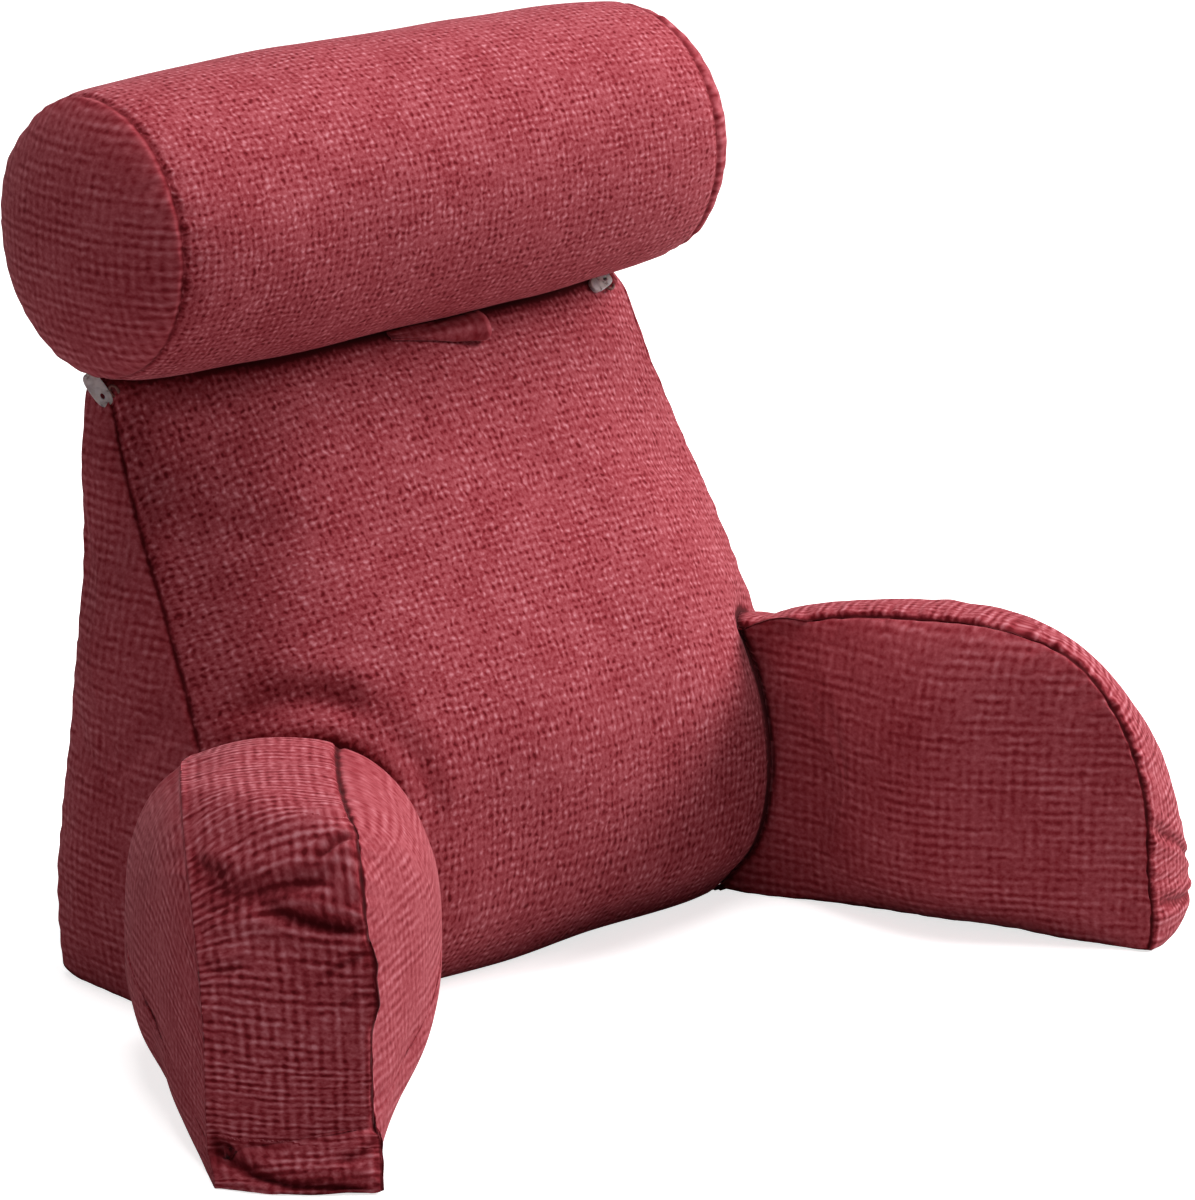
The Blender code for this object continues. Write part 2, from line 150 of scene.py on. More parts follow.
FLOOR_HALF = 12.0
FLOOR_GLOW = 0.62
FLOOR_THROWN = (0.74, 0.72, 0.72, 1.0)  # the colour that it throws back on the pillow
FLOOR_SEEN = (0.92, 0.92, 0.92, 1.0)  # the colour that the camera sees
floor_mesh = bpy.data.meshes.new("floor")
corners = [(x * FLOOR_HALF, y * FLOOR_HALF, 0.0) for x, y in ((-1, -1), (1, -1), (1, 1), (-1, 1))]
floor_mesh.from_pydata(corners, [], [(0, 1, 2, 3)])
pale_floor, tree, shader = new_material("pale_floor", roughness=0.9, emission_color=(1.0, 1.0, 1.0, 1.0))
seen = wire(tree, "ShaderNodeLightPath").outputs["Is Camera Ray"]
tint = wire(tree, "ShaderNodeMix", {0: seen, 6: FLOOR_THROWN, 7: FLOOR_SEEN}, data_type="RGBA")
glow = calc(tree, "MULTIPLY", seen, FLOOR_GLOW)
feed(tree, shader, {"Emission Strength": glow, "Base Color": tint.outputs[2]})
floor_mesh.materials.append(pale_floor)
floor = new_object("floor", floor_mesh)

LIT_POINT = Vector((0.0, -0.1, 0.2))
LIGHTS = (
    # name, place, width, watts
    ("key", (3.2, -1.5, 2.1), 1.5, 134.0),
    ("top", (0.2, -0.2, 3.4), 2.0, 62.0),
    ("fill", (-3.4, 0.2, 1.2), 2.0, 8.0),
)
for name, place, width, watts in LIGHTS:
    lamp = bpy.data.lights.new(name, "AREA")
    lamp.size = width
    lamp.energy = watts
    light = new_object(name, lamp)
    light.location = place
    light.rotation_euler = (LIT_POINT - Vector(place)).to_track_quat("-Z", "Y").to_euler()

world = bpy.data.worlds.new("studio")
world.use_nodes = True
backdrop = {"Color": (1.0, 0.99, 0.98, 1.0), "Strength": 0.09}
feed(world.node_tree, world.node_tree.nodes["Background"], backdrop)
scene.world = world
print("Lights:", [row[0] for row in LIGHTS])

# %% [markdown]
# ## The cloth's coordinates
# A weave needs to know which way its yarns run. Each cushion is cut from flat panels, so each panel
# gets its own flat map in metres, and the yarns follow the panel round every bulge, just as they do on
# the real thing. That is why the pattern is laid on a UV map and not on the object's own axes.

# %% Helpers for closed curves and for rows of points
GAP = 0.0005  # cloth that touches cloth stays this far from it
DEPTH_SHIFT = -0.085  # moves everything forward, as in the CAD model


def blend(start, end, share):
    return start + (end - start) * share


def smooth_step(low, high, value):
    share = np.clip((value - low) / (high - low), 0.0, 1.0)
    return share * share * (3 - 2 * share)


def bell(away, width):
    """1 where away is 0, and hardly anything from twice the width on."""
    return np.exp(-((away / width) ** 2))


def run_so_far(points):
    """The length of the path through the points, up to each of them."""
    return np.concatenate([[0.0], np.cumsum(np.linalg.norm(np.diff(points, axis=0), axis=1))])


def closed_curve(rows, samples=1920):
    """Points of the smooth closed curve through the rows."""
    rows = np.asarray(rows, float)
    at = np.linspace(0.0, len(rows), samples + 1)
    k = np.floor(at).astype(int)
    f = (at - k)[:, None]
    before, start, end, after = (rows[(k + j - 1) % len(rows)] for j in range(4))
    leave, arrive = (end - before) / 2, (after - start) / 2
    return (
        (2 * f**3 - 3 * f**2 + 1) * start
        + (f**3 - 2 * f**2 + f) * leave
        + (3 * f**2 - 2 * f**3) * end
        + (f**3 - f**2) * arrive
    )


def spaced_curve(rows, count, density=None):
    """count points round the closed curve, the length run so far as their last column. density says how
    close together they stand at each point of it."""
    fine = closed_curve(rows)
    run = run_so_far(fine[:, :2])
    steps = np.linalg.norm(np.diff(fine[:, :2], axis=0), axis=1)
    weight = np.ones(len(steps)) if density is None else density(fine[:-1])
    weighted = np.concatenate([[0.0], np.cumsum(steps * weight)])
    at = np.interp(np.linspace(0.0, weighted[-1], count + 1), weighted, run)
    return np.column_stack([np.interp(at, run, column) for column in fine.T] + [at])


def outward_normals(curve, centre):
    """The outward direction at each point of a closed curve whose last point repeats its first."""
    ring = curve[:-1, :2]
    tangent = np.roll(ring, -1, axis=0) - np.roll(ring, 1, axis=0)
    tangent /= np.linalg.norm(tangent, axis=1)[:, None]
    normal = np.column_stack([-tangent[:, 1], tangent[:, 0]])
    normal *= 1 if ((ring - centre) * normal).sum() > 0 else -1
    return np.vstack([normal, normal[:1]])


def steps_from_seam(length, first, last, growth=1.12):
    """Distances from a seam, close together beside it and wider further in."""
    at, step = [0.0], first
    while at[-1] < length:
        at.append(at[-1] + step)
        step = min(step * growth, last)
    return np.array(at) * length / at[-1]


def panel_rows(band_length, face_radius, first=0.0011, last=0.0036, face_first=0.0011):
    """The rows of a sewn form, from the middle of its near face over the band to the middle of its far
    face: band (-1 to 1), disc (0 in a face's middle, 1 at its rim) and side (-1 or 1)."""
    across = steps_from_seam(band_length / 2, first, last) / (band_length / 2)
    inward = steps_from_seam(face_radius, face_first, last, 1.2) / face_radius
    half = np.concatenate([-1 + across[:-1], [0.0]])
    band = np.concatenate([half, -half[-2::-1]])
    disc = 1 - inward[1:-1]
    near = np.column_stack([np.full(len(disc), -1.0), disc[::-1], np.full(len(disc), -1.0)])
    middle = np.column_stack([band, np.ones(len(band)), np.where(band > 0, 1.0, -1.0)])
    far = np.column_stack([np.full(len(disc), 1.0), disc, np.full(len(disc), 1.0)])
    return np.vstack([[[-1.0, 0.0, -1.0]], near, middle, far, [[1.0, 0.0, 1.0]]])


print("Rows across a 0.44 m band with 0.15 m faces:", len(panel_rows(0.44, 0.15)))

# %% [markdown]
# ## Grid, normals and mesh
# Every cushion is one closed grid of points: around its rim one way, across its panels the other.
# Keeping the grid in an array lets whole seams and folds be pressed in with one line of arithmetic,
# and the mesh is made only at the end.


# %% Turn a grid of points into a closed mesh with a cloth map
def grid_normals(points):
    """Outward unit normals of a closed grid whose last column repeats its first."""
    ring = points[:, :-1]
    along = np.roll(ring, -1, axis=1) - np.roll(ring, 1, axis=1)
    across = np.gradient(ring, axis=0)
    normal = np.cross(along, across)
    length = np.linalg.norm(normal, axis=2, keepdims=True)
    normal = normal / np.maximum(length, 1e-12)
    normal[0], normal[-1] = normal[1].mean(axis=0), normal[-2].mean(axis=0)
    normal /= np.maximum(np.linalg.norm(normal, axis=2, keepdims=True), 1e-12)
    middle = ring.reshape(-1, 3).mean(axis=0)
    normal *= 1 if ((ring - middle) * normal).sum() > 0 else -1
    return np.concatenate([normal, normal[:, :1]], axis=1)


def lumpy(points, size, seed, height):
    """The points with soft lumps of that size and height, as filling makes them."""
    shift = Vector((seed * 7.31, seed * 3.17, seed * 5.53))
    flat = points.reshape(-1, 3) / size
    made = np.array([noise.noise(Vector(p) + shift) for p in flat.tolist()]) * 1.6
    return points + grid_normals(points) * (made.reshape(points.shape[:-1]) * height)[..., None]


def closed_faces(row_count, count):
    """The faces of a closed grid: its quads, and the fans at its two poles."""
    ring = np.arange(count)
    after = (ring + 1) % count
    quads = []
    for r in range(1, row_count - 2):
        low = 1 + (r - 1) * count
        high = low + count
        quads.append(np.column_stack([low + ring, low + after, high + after, high + ring]))
    last = 1 + (row_count - 2) * count
    near = np.column_stack([np.zeros(count, int), 1 + after, 1 + ring])
    far = np.column_stack([last - count + ring, last - count + after, np.full(count, last)])
    return np.vstack(quads).tolist() + near.tolist() + far.tolist()


def vertices_of(mesh):
    places = np.zeros(len(mesh.vertices) * 3)
    mesh.vertices.foreach_get("co", places)
    return places.reshape(-1, 3)


def face_out(mesh):
    """Turns a closed mesh's faces to point outward, and shades it smooth."""
    mesh.calc_loop_triangles()
    tris = np.zeros(len(mesh.loop_triangles) * 3, np.int32)
    mesh.loop_triangles.foreach_get("vertices", tris)
    a, b, c = (vertices_of(mesh)[corner] for corner in tris.reshape(-1, 3).T)
    if (a * np.cross(b, c)).sum() < 0:
        mesh.flip_normals()
    mesh.shade_smooth()


def add_cloth_map(mesh, corners):
    """A UV map with each face corner's flat place in metres."""
    uv = mesh.uv_layers.new(name="cloth")
    uv.data.foreach_set("uv", corners.astype(np.float32).ravel())


def cloth_mesh(name, points, rows, band_map, face_map, painted_shade, band_cloth):
    """A closed mesh from a grid, with its cloth map. Its point attribute is painted shade: how dark the cloth
    is painted in its seams and folds and where it meets a neighbour."""
    count = points.shape[1] - 1
    verts = np.vstack([points[0, 0], points[1:-1, :-1].reshape(-1, 3), points[-1, 0]])
    mesh = bpy.data.meshes.new(name)
    mesh.from_pydata(verts.tolist(), [], closed_faces(len(rows), count))
    on_band = (rows[1:-2, 1] >= 1.0) & (rows[2:-1, 1] >= 1.0)
    loops = []
    for r, banded in enumerate(on_band, start=1):
        flat = band_map if banded else face_map
        loops.append(np.stack([flat[r, :-1], flat[r, 1:], flat[r + 1, 1:], flat[r + 1, :-1]], axis=1))
    near_uv = np.stack([face_map[0, :-1], face_map[1, 1:], face_map[1, :-1]], axis=1)
    far_uv = np.stack([face_map[-2, :-1], face_map[-2, 1:], face_map[-1, :-1]], axis=1)
    add_cloth_map(mesh, np.concatenate([part.reshape(-1, 2) for part in (np.vstack(loops), near_uv, far_uv)]))
    # the painted shade of each vertex
    depth = np.concatenate([[painted_shade[0, 0]], painted_shade[1:-1, :-1].ravel(), [painted_shade[-1, 0]]])
    mesh.attributes.new("painted_shade", "FLOAT", "POINT").data.foreach_set("value", depth.astype(np.float32))
    kinds = np.concatenate([np.repeat(on_band, count), np.zeros(2 * count, bool)])
    mesh.materials.append(ribbed_cloth)
    mesh.materials.append(band_cloth)
    mesh.polygons.foreach_set("material_index", kinds.astype(np.int32))
    face_out(mesh)
    mesh.validate()
    return mesh


def add_piece(name, mesh, slot, *nodes):
    """A finished mesh as a piece that rides on the pillow and stands for its CAD nodes."""
    piece = new_object(name, mesh)
    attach(piece, "root")
    if nodes:
        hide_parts(*nodes)
    print(f"{name}: {len(mesh.polygons)} faces")
    return piece


# %% [markdown]
# ## The woven cloth
# The cover is a coarse chenille: fat fuzzy yarns that pass over and under each other every 5 or
# 6 mm, so that nothing in it has a hard edge. On the front the yarns lie loosely and show as soft dark
# pits and pale nubs. On the arms and sides they lie in rows, with dark streaks between them. A shader
# node group draws both: two soft waves, one for each set of yarns, whose strength wanders from place
# to place. Each material then gives the group its own pitches and strengths.


# %% Build the weave as a node group
WEAVE_VALUES = ("Column Pitch", "Row Pitch", "Rows", "Columns", "Dots", "Streak", "Looseness", "Fuzz")


def chenille_weave():
    tree = bpy.data.node_groups.new("chenille_weave", "ShaderNodeTree")
    tree.interface.new_socket("Cloth", in_out="INPUT", socket_type="NodeSocketVector")
    for label in WEAVE_VALUES:
        tree.interface.new_socket(label, in_out="INPUT", socket_type="NodeSocketFloat")
    for label in ("Height", "Tone"):
        tree.interface.new_socket(label, in_out="OUTPUT", socket_type="NodeSocketFloat")
    given, out = tree.nodes.new("NodeGroupInput").outputs, tree.nodes.new("NodeGroupOutput")

    def maths(operation, *values):
        return calc(tree, operation, *values)

    def vector(operation, *values):
        node = wire(tree, "ShaderNodeVectorMath", dict(enumerate(values)), operation=operation)
        return node.outputs[0]

    def join(x, y, z=0.0):
        return wire(tree, "ShaderNodeCombineXYZ", {"X": x, "Y": y, "Z": z}).outputs[0]

    def cloud(place, size, detail=1.0, output="Fac"):
        links = {"Vector": place, "Scale": size, "Detail": detail}
        return wire(tree, "ShaderNodeTexNoise", links).outputs[output]

    yarns = vector("DIVIDE", given["Cloth"], join(given["Column Pitch"], given["Row Pitch"], 1.0))
    push = vector("SUBTRACT", cloud(yarns, 0.8, output="Color"), (0.5, 0.5, 0.5))
    push = vector("MULTIPLY", push, join(*[given["Looseness"]] * 3))
    place = wire(tree, "ShaderNodeSeparateXYZ", {0: vector("ADD", yarns, push)})
    u, v = place.outputs["X"], place.outputs["Y"]

    # Waves of 1 on each yarn and -1 between two, strong here and weak there
    wave_u, wave_v = (maths("COSINE", maths("MULTIPLY", value, 2 * math.pi)) for value in (u, v))

    def yarn_set(wave, across, along, strength, salt):
        lane = join(maths("DIVIDE", along, given["Streak"]), maths("MULTIPLY", across, 0.8), salt)
        here = ramp(tree, cloud(lane, 1.0), 0.34, 0.66)
        return maths("MULTIPLY", maths("MULTIPLY", wave, here), strength)

    rows = yarn_set(wave_v, v, u, given["Rows"], 11.3)
    columns = yarn_set(wave_u, u, v, given["Columns"], 47.7)

    # Pits where four yarns part, and nubs on the yarns' crossings
    def dots(sign, salt):
        at_u, at_v = (maths("MULTIPLY_ADD", wave, 0.5 * sign, 0.5) for wave in (wave_u, wave_v))
        spot = maths("POWER", maths("MULTIPLY", at_u, at_v), 1.7)
        here = cloud(vector("ADD", yarns, (salt, -salt, salt)), 0.9)
        return maths("MULTIPLY", maths("MULTIPLY", spot, ramp(tree, here, 0.36, 0.66)), sign)

    spots = maths("ADD", dots(1.0, 5.1), maths("MULTIPLY", dots(-1.0, 19.4), 1.15))
    spots = maths("MULTIPLY", spots, given["Dots"])
    fuzz = maths("SUBTRACT", cloud(yarns, 1.9, 2.0), 0.5)
    drift = maths("SUBTRACT", cloud(yarns, 0.16, 2.0), 0.5)
    tone = maths("MULTIPLY_ADD", fuzz, given["Fuzz"], 0.5)
    tone = maths("ADD", maths("ADD", tone, spots), maths("ADD", rows, columns))
    tone = maths("MULTIPLY_ADD", drift, 0.25, tone)
    fibres = maths("MULTIPLY", cloud(yarns, 6.0, 3.0), 0.12)
    shade = maths("ADD", tone, maths("SUBTRACT", fibres, 0.06))
    feed(tree, out, {"Height": maths("ADD", tone, fibres), "Tone": shade})
    return tree


WEAVE = chenille_weave()
print("Weave group:", [item.name for item in WEAVE.interface.items_tree])


# %% Make the cloth materials from the weave
YARN_COLOURS = (
    # tone, colour: the shadow between yarns, the yarns, and their pale fuzz
    (0.10, (0.16, 0.008, 0.014)),
    (0.36, (0.29, 0.035, 0.048)),
    (0.60, (0.43, 0.100, 0.120)),
    (0.95, (0.62, 0.240, 0.275)),
)


def cloth_material(name, weave_values):
    made, tree, shader = new_material(name)
    weave = wire(tree, "ShaderNodeGroup", dict(zip(WEAVE_VALUES, weave_values)), node_tree=WEAVE)
    cloth = wire(tree, "ShaderNodeUVMap", uv_map="cloth")
    tree.links.new(cloth.outputs["UV"], weave.inputs["Cloth"])
    # The point attribute read here is painted shade. It darkens the cloth's colour in seams, folds, joins and
    # under the roll.
    painted_shade = wire(tree, "ShaderNodeAttribute", attribute_name="painted_shade").outputs["Fac"]
    shade = calc(tree, "SUBTRACT", weave.outputs["Tone"], calc(tree, "MULTIPLY", painted_shade, 0.9))
    painted_shade_factor = calc(tree, "MULTIPLY_ADD", painted_shade, -0.6, 1.0)
    painted_shade_colour = wire(tree, "ShaderNodeCombineColor", {"Red": painted_shade_factor, "Green": painted_shade_factor, "Blue": painted_shade_factor})
    colours = {"Factor": 1.0, 6: colour_stops(tree, shade, YARN_COLOURS), 7: painted_shade_colour.outputs["Color"]}
    colour = wire(tree, "ShaderNodeMix", colours, data_type="RGBA", blend_type="MULTIPLY")
    relief = {"Strength": 0.16, "Distance": 0.0012, "Height": weave.outputs["Height"]}
    finish = {
        "Base Color": colour.outputs[2],
        "Normal": wire(tree, "ShaderNodeBump", relief).outputs["Normal"],
        "Roughness": ramp(tree, weave.outputs["Tone"], 0.2, 0.9, 0.98, 0.82),
        "Specular IOR Level": 0.15,
        "Sheen Weight": 0.14,
        "Sheen Roughness": 0.5,
        "Sheen Tint": (1.0, 0.62, 0.66, 1.0),
    }
    feed(tree, shader, finish)
    return made


CLOTHS = {
    # name: what the weave's inputs get, in the order of WEAVE_VALUES
    "red_chenille_nubby": (0.0047, 0.0047, 0.05, 0.05, 0.35, 1.3, 1.2, 0.7),
    "red_chenille_ribbed": (0.0064, 0.0058, 0.14, 0.06, 0.08, 3.4, 0.5, 0.55),
    "red_chenille_gusset": (0.0060, 0.0054, 0.24, 0.15, 0.16, 3.0, 0.5, 0.7),
}
nubby_cloth, ribbed_cloth, gusset_cloth = (cloth_material(*row) for row in CLOTHS.items())
print("Cloth materials:", list(CLOTHS))

# %% [markdown]
# ## The back cushion
# The wedge is cut as two side panels and one long strip that runs up the front, over the top, down
# the back and under. Sewing them leaves a seam round each side, from which the filling swells out. The
# form is worked out as the CAD model's is, only with many more points, and then the sewn details are
# pressed into it.

# %% The back cushion's sizes
SIDE_SEAM = np.array(
    [
        # y, z, swell of the strip between the side seams
        (0.012, 0.004, 0.012),
        (-0.006, 0.050, 0.040),
        (0.006, 0.110, 0.062),
        (0.031, 0.164, 0.066),
        (0.074, 0.240, 0.056),
        (0.112, 0.305, 0.038),
        (0.132, 0.338, 0.026),
        (0.151, 0.342, 0.022),
        (0.151, 0.312, 0.014),
        (0.148, 0.220, 0.022),
        (0.151, 0.100, 0.020),
        (0.151, 0.022, 0.008),
        (0.137, 0.000, 0.000),
        (0.045, 0.000, 0.000),
    ]
)
HALF_WIDTH_AT = (0.0, 0.03, 0.07, 0.11, 0.164, 0.24, 0.305, 0.335, 0.35)
HALF_WIDTH = (0.2235, 0.2240, 0.2240, 0.2205, 0.2135, 0.2045, 0.1990, 0.195, 0.1905)
SIDE_CENTRE = np.array([0.095, 0.13])
SIDE_SWELL = 0.012
TOP_LEAN = 0.006
# How far the stuffing lifts the top in front of the roll, from left to right
TOP_LIFT_AT = (-0.19, -0.15, -0.06, 0.06, 0.15, 0.19)
TOP_LIFT = (0.016, 0.013, 0.015, 0.013, 0.010, 0.005)

# The neck roll's place, which presses into the cushion's top
ROLL_CENTRE = np.array([-0.005, 0.123 + DEPTH_SHIFT, 0.4388])
ROLL_RISE = math.radians(-0.1)
ROLL_RADIUS = (0.0855, 0.0812)
ROLL_BARREL = 0.0018  # how much wider its middle is
ROLL_SEAM_LENGTH = 0.404


def back_cushion_grid(around=400):
    rows = panel_rows(0.44, 0.16, last=0.0038)
    band, disc, side = (column[:, None] for column in rows.T)
    seam = spaced_curve(SIDE_SEAM, around, lambda at: np.where(at[:, 1] < 0.002, 0.4, 1.0))
    outward = outward_normals(seam, SIDE_CENTRE)
    y, z, swell, run = seam.T
    crown = swell * (1 - np.abs(band) ** 3.1)
    rim_y = SIDE_CENTRE[0] + (y + outward[:, 0] * crown - SIDE_CENTRE[0]) * disc
    rim_z = SIDE_CENTRE[1] + (z + outward[:, 1] * crown - SIDE_CENTRE[1]) * disc
    half_width = np.interp(SIDE_CENTRE[1] + (z - SIDE_CENTRE[1]) * disc, HALF_WIDTH_AT, HALF_WIDTH)
    x = band * half_width + side * SIDE_SWELL * (1 - disc**2.2)
    rim_z = np.maximum(rim_z, 0.0)
    rim_z = rim_z + TOP_LEAN * x / half_width * smooth_step(0.15, 0.34, rim_z)
    rim_z = rim_z + np.interp(x, TOP_LIFT_AT, TOP_LIFT) * smooth_step(0.26, 0.34, rim_z)
    points = np.stack([x, rim_y + DEPTH_SHIFT, rim_z], axis=2)
    band_map = np.stack([band * half_width, run + 0 * x], axis=2)
    face_map = np.stack([SIDE_CENTRE[0] + (y - SIDE_CENTRE[0]) * disc, rim_z], axis=2)
    return rows, points, band_map, face_map, run


def seam_rows(rows):
    """The two rows that are seams."""
    return np.where((rows[:, 1] >= 1.0) & (np.abs(rows[:, 0]) >= 1.0))[0]


def seam_distance(points, rows):
    """Metres along the cloth from each point to either seam."""
    steps = np.linalg.norm(np.diff(points, axis=0), axis=2)
    run = np.concatenate([np.zeros((1, points.shape[1])), np.cumsum(steps, axis=0)])
    return [np.abs(run - run[r]) for r in seam_rows(rows)]


def pucker(run, seed, pitch=0.017):
    """Uneven waves along a seam, about -1 to 1, from gathered stitches."""
    generator = np.random.default_rng(seed)
    knots = np.arange(0.0, run[-1] + pitch, pitch * 0.5)
    heights = generator.uniform(0.3, 1.0, len(knots)) * np.where(np.arange(len(knots)) % 2, 1, -1)
    heights[-1] = heights[0]
    places = knots + generator.uniform(-0.2, 0.2, len(knots)) * pitch
    return np.interp(run, places, heights, period=run[-1])


SEAM_GROOVE = 0.0024  # how far the groove of a seam reaches to each side
SEAM_HOLLOW = 0.009  # how far the cloth dips beside it
SEAM_GATHERS = 0.012  # how far the gathers run out
SEAM_SHADE_REACH = 0.0016  # how far its painted shade line reaches


def press_seams(points, rows, run, seed, gather, sink, shade_strength):
    """Draws both seams in (or out, as a welt, where the sink is below zero), with the small puckers
    beside them, and paints shade along their lines. sink and the painted shade's strength have a value for
    each seam. Returns the points and their painted shade."""
    normal = grid_normals(points)
    off_floor = blend(0.3, 1.0, smooth_step(0.0, 0.014, points[..., 2]))[..., None]
    moved, painted_shade = points.copy(), np.zeros(points.shape[:2])
    for k, away in enumerate(seam_distance(points, rows)):
        waves = pucker(run, seed + k)
        groove = sink[k] * (1 + 0.35 * waves * (sink[k] > 0)) * bell(away, SEAM_GROOVE)
        groove = groove + 0.5 * max(sink[k], 0.0) * bell(away, SEAM_HOLLOW)
        swell = waves * gather * np.exp(-away / SEAM_GATHERS) * (1 - bell(away, 0.003))
        at_seam = normal[seam_rows(rows)[k]]  # one direction for both panels, so that they can't cross
        moved += off_floor * (normal * swell[..., None] - at_seam * groove[..., None])
        # painted shade along each seam's line
        painted_shade = np.maximum(painted_shade, shade_strength[k] * (1 + 0.25 * waves) * bell(away, SEAM_SHADE_REACH))
    return moved, painted_shade


# %% [markdown]
# ## Letting the cloth settle
# A cover is cut a little larger than its filling, so it buckles softly where the seams hold it. Blender's
# cloth finds those soft folds: a coarse copy of the cushion is blown up from inside with its seams
# pinned and its cloth grown a little. Only the unevenness is kept, as a height along the
# surface, and laid over the fine grid, so the cushion keeps its size.


# %% Settle a cushion's cover with a short cloth simulation
CLOTH_FRAMES = 20
CLOTH_PRESSURE = 4.0
CLOTH_GROWTH = 0.015
CLOTH_SETTINGS = {"quality": 5, "mass": 0.2, "bending_stiffness": 1.5, "shrink_min": -CLOTH_GROWTH}
CLOTH_STEPS = (3, 5)  # the coarse copy has every third row and every fifth column
CLOTH_CAP = 0.006  # no fold is higher than this


def spread(fine, coarse):
    """The weights that carry values from coarse places to fine ones."""
    return np.stack([np.interp(fine, coarse, row) for row in np.eye(len(coarse))], axis=1)


def blurred(field, times):
    """The field with its unevenness smoothed away, round the rim and across it."""
    for _ in range(times):
        ring = field[:, :-1]
        ring = (np.roll(ring, 1, axis=1) + 2 * ring + np.roll(ring, -1, axis=1)) / 4
        field = np.concatenate([ring, ring[:, :1]], axis=1)
        inner = (field[:-2] + 2 * field[1:-1] + field[2:]) / 4
        field = np.concatenate([field[:1], inner, field[-1:]])
    return field


def settled(points, rows, share):
    """The points with a share of the soft folds that a cloth simulation makes."""
    seams = seam_rows(rows)
    keep_rows, keep_columns = (
        np.unique(np.concatenate([np.arange(0, size, step), kept, [size - 1]]).astype(int))
        for size, step, kept in zip(points.shape, CLOTH_STEPS, (seams, []))
    )
    coarse = points[np.ix_(keep_rows, keep_columns)]
    count = len(keep_columns) - 1
    verts = np.vstack([coarse[0, 0], coarse[1:-1, :-1].reshape(-1, 3), coarse[-1, 0]])
    mesh = bpy.data.meshes.new("settling")
    mesh.from_pydata(verts.tolist(), [], closed_faces(len(keep_rows), count))
    face_out(mesh)
    guide = new_object("settling", mesh)
    held = guide.vertex_groups.new(name="seams")
    for r in np.searchsorted(keep_rows, seams):
        held.add([1 + (int(r) - 1) * count + j for j in range(count)], 1.0, "REPLACE")
    cloth = guide.modifiers.new("cloth", "CLOTH")
    for key, value in CLOTH_SETTINGS.items():
        setattr(cloth.settings, key, value)
    cloth.settings.use_pressure = True
    cloth.settings.uniform_pressure_force = CLOTH_PRESSURE
    cloth.settings.effector_weights.gravity = 0.0
    cloth.settings.vertex_group_mass = "seams"
    cloth.collision_settings.use_self_collision = False
    for frame_number in range(1, CLOTH_FRAMES + 1):
        scene.frame_set(frame_number)
    blown = guide.evaluated_get(bpy.context.evaluated_depsgraph_get()).data
    moved = vertices_of(blown) - verts
    bpy.data.objects.remove(guide)
    scene.frame_set(1)
    size = np.linalg.norm(moved, axis=1, keepdims=True)
    moved *= np.minimum(1.0, 4 * CLOTH_CAP / np.maximum(size, 1e-9))
    middle = moved[1:-1].reshape(len(keep_rows) - 2, count, 3)
    middle = np.concatenate([middle, middle[:, :1]], axis=1)
    ends = [np.repeat(move[None, None], count + 1, axis=1) for move in (moved[0], moved[-1])]
    field = np.concatenate([ends[0], middle, ends[1]])
    rise = (field * grid_normals(coarse)).sum(axis=2)
    rise = np.clip(rise - blurred(rise, 24), -CLOTH_CAP, CLOTH_CAP)
    across = spread(np.arange(points.shape[0]), keep_rows)
    round_rim = spread(np.arange(points.shape[1]), keep_columns)
    rise = share * blurred(across @ rise @ round_rim.T, 12)
    off_seam = 1 - bell(np.minimum(*seam_distance(points, rows)), 0.012)
    rise *= off_seam * smooth_step(0.0, 0.02, points[..., 2])
    print(f"Settled: folds of up to {np.abs(rise).max() * 1000:.1f} mm")
    return points + grid_normals(points) * rise[..., None]


FILLING = {
    # share of the settled folds that shows, size and height of the lumps
    "cushion": (0.8, 0.075, 0.0016),
    "roll": (0.2, 0.06, 0.001),
    "arm": (0.6, 0.05, 0.001),
}


def filled(kind, points, rows, seed):
    """The points with the unevenness of a cover that is stuffed."""
    share, size, height = FILLING[kind]
    return lumpy(settled(points, rows, share), size, seed, height)


# %% Press the listed folds
def press_folds(points, rows, flat, folds):
    """Presses folds into the panel between the seams, with painted shade in them. Each is its depth, its
    half width, how much of a ridge stands up beside it, how dark shade is painted in it, and its path over
    the flat map. Returns points and their painted shade."""
    normal = grid_normals(points)
    band = rows[:, :1]
    where = (rows[:, 1:2] >= 1.0) * (1 - np.abs(band) ** 10)
    rise, painted_shade = np.zeros(points.shape[:2]), np.zeros(points.shape[:2])
    for depth, half_width, ridge, shade_strength, *path in folds:
        path = np.array(path)
        run = run_so_far(path)
        run /= run[-1]
        off, share = np.full(points.shape[:2], 1e9), np.zeros(points.shape[:2])
        for k, (start, end) in enumerate(zip(path, path[1:])):
            step = end - start
            at = np.clip(((flat - start) * step).sum(axis=2) / (step @ step), 0.0, 1.0)
            away = np.linalg.norm(flat - start - at[..., None] * step, axis=2)
            share = np.where(away < off, blend(run[k], run[k + 1], at), share)
            off = np.minimum(off, away)
        fade = smooth_step(-0.08, 0.2, np.minimum(share, 1 - share)) * where
        bank = ridge * bell(off - 2.2 * half_width, 1.2 * half_width)
        rise += depth * fade * (bank - bell(off, half_width))
        # painted shade in the fold's hollow
        painted_shade = np.maximum(painted_shade, shade_strength * fade * bell(off, half_width))
    return points + normal * rise[..., None], painted_shade


# %% Draw the cloth in where two cushions meet
SEARCH = 0.02  # no neighbour further away than this counts


def skin_of(mesh):
    return BVHTree.FromPolygons([v.co for v in mesh.vertices], [p.vertices for p in mesh.polygons])


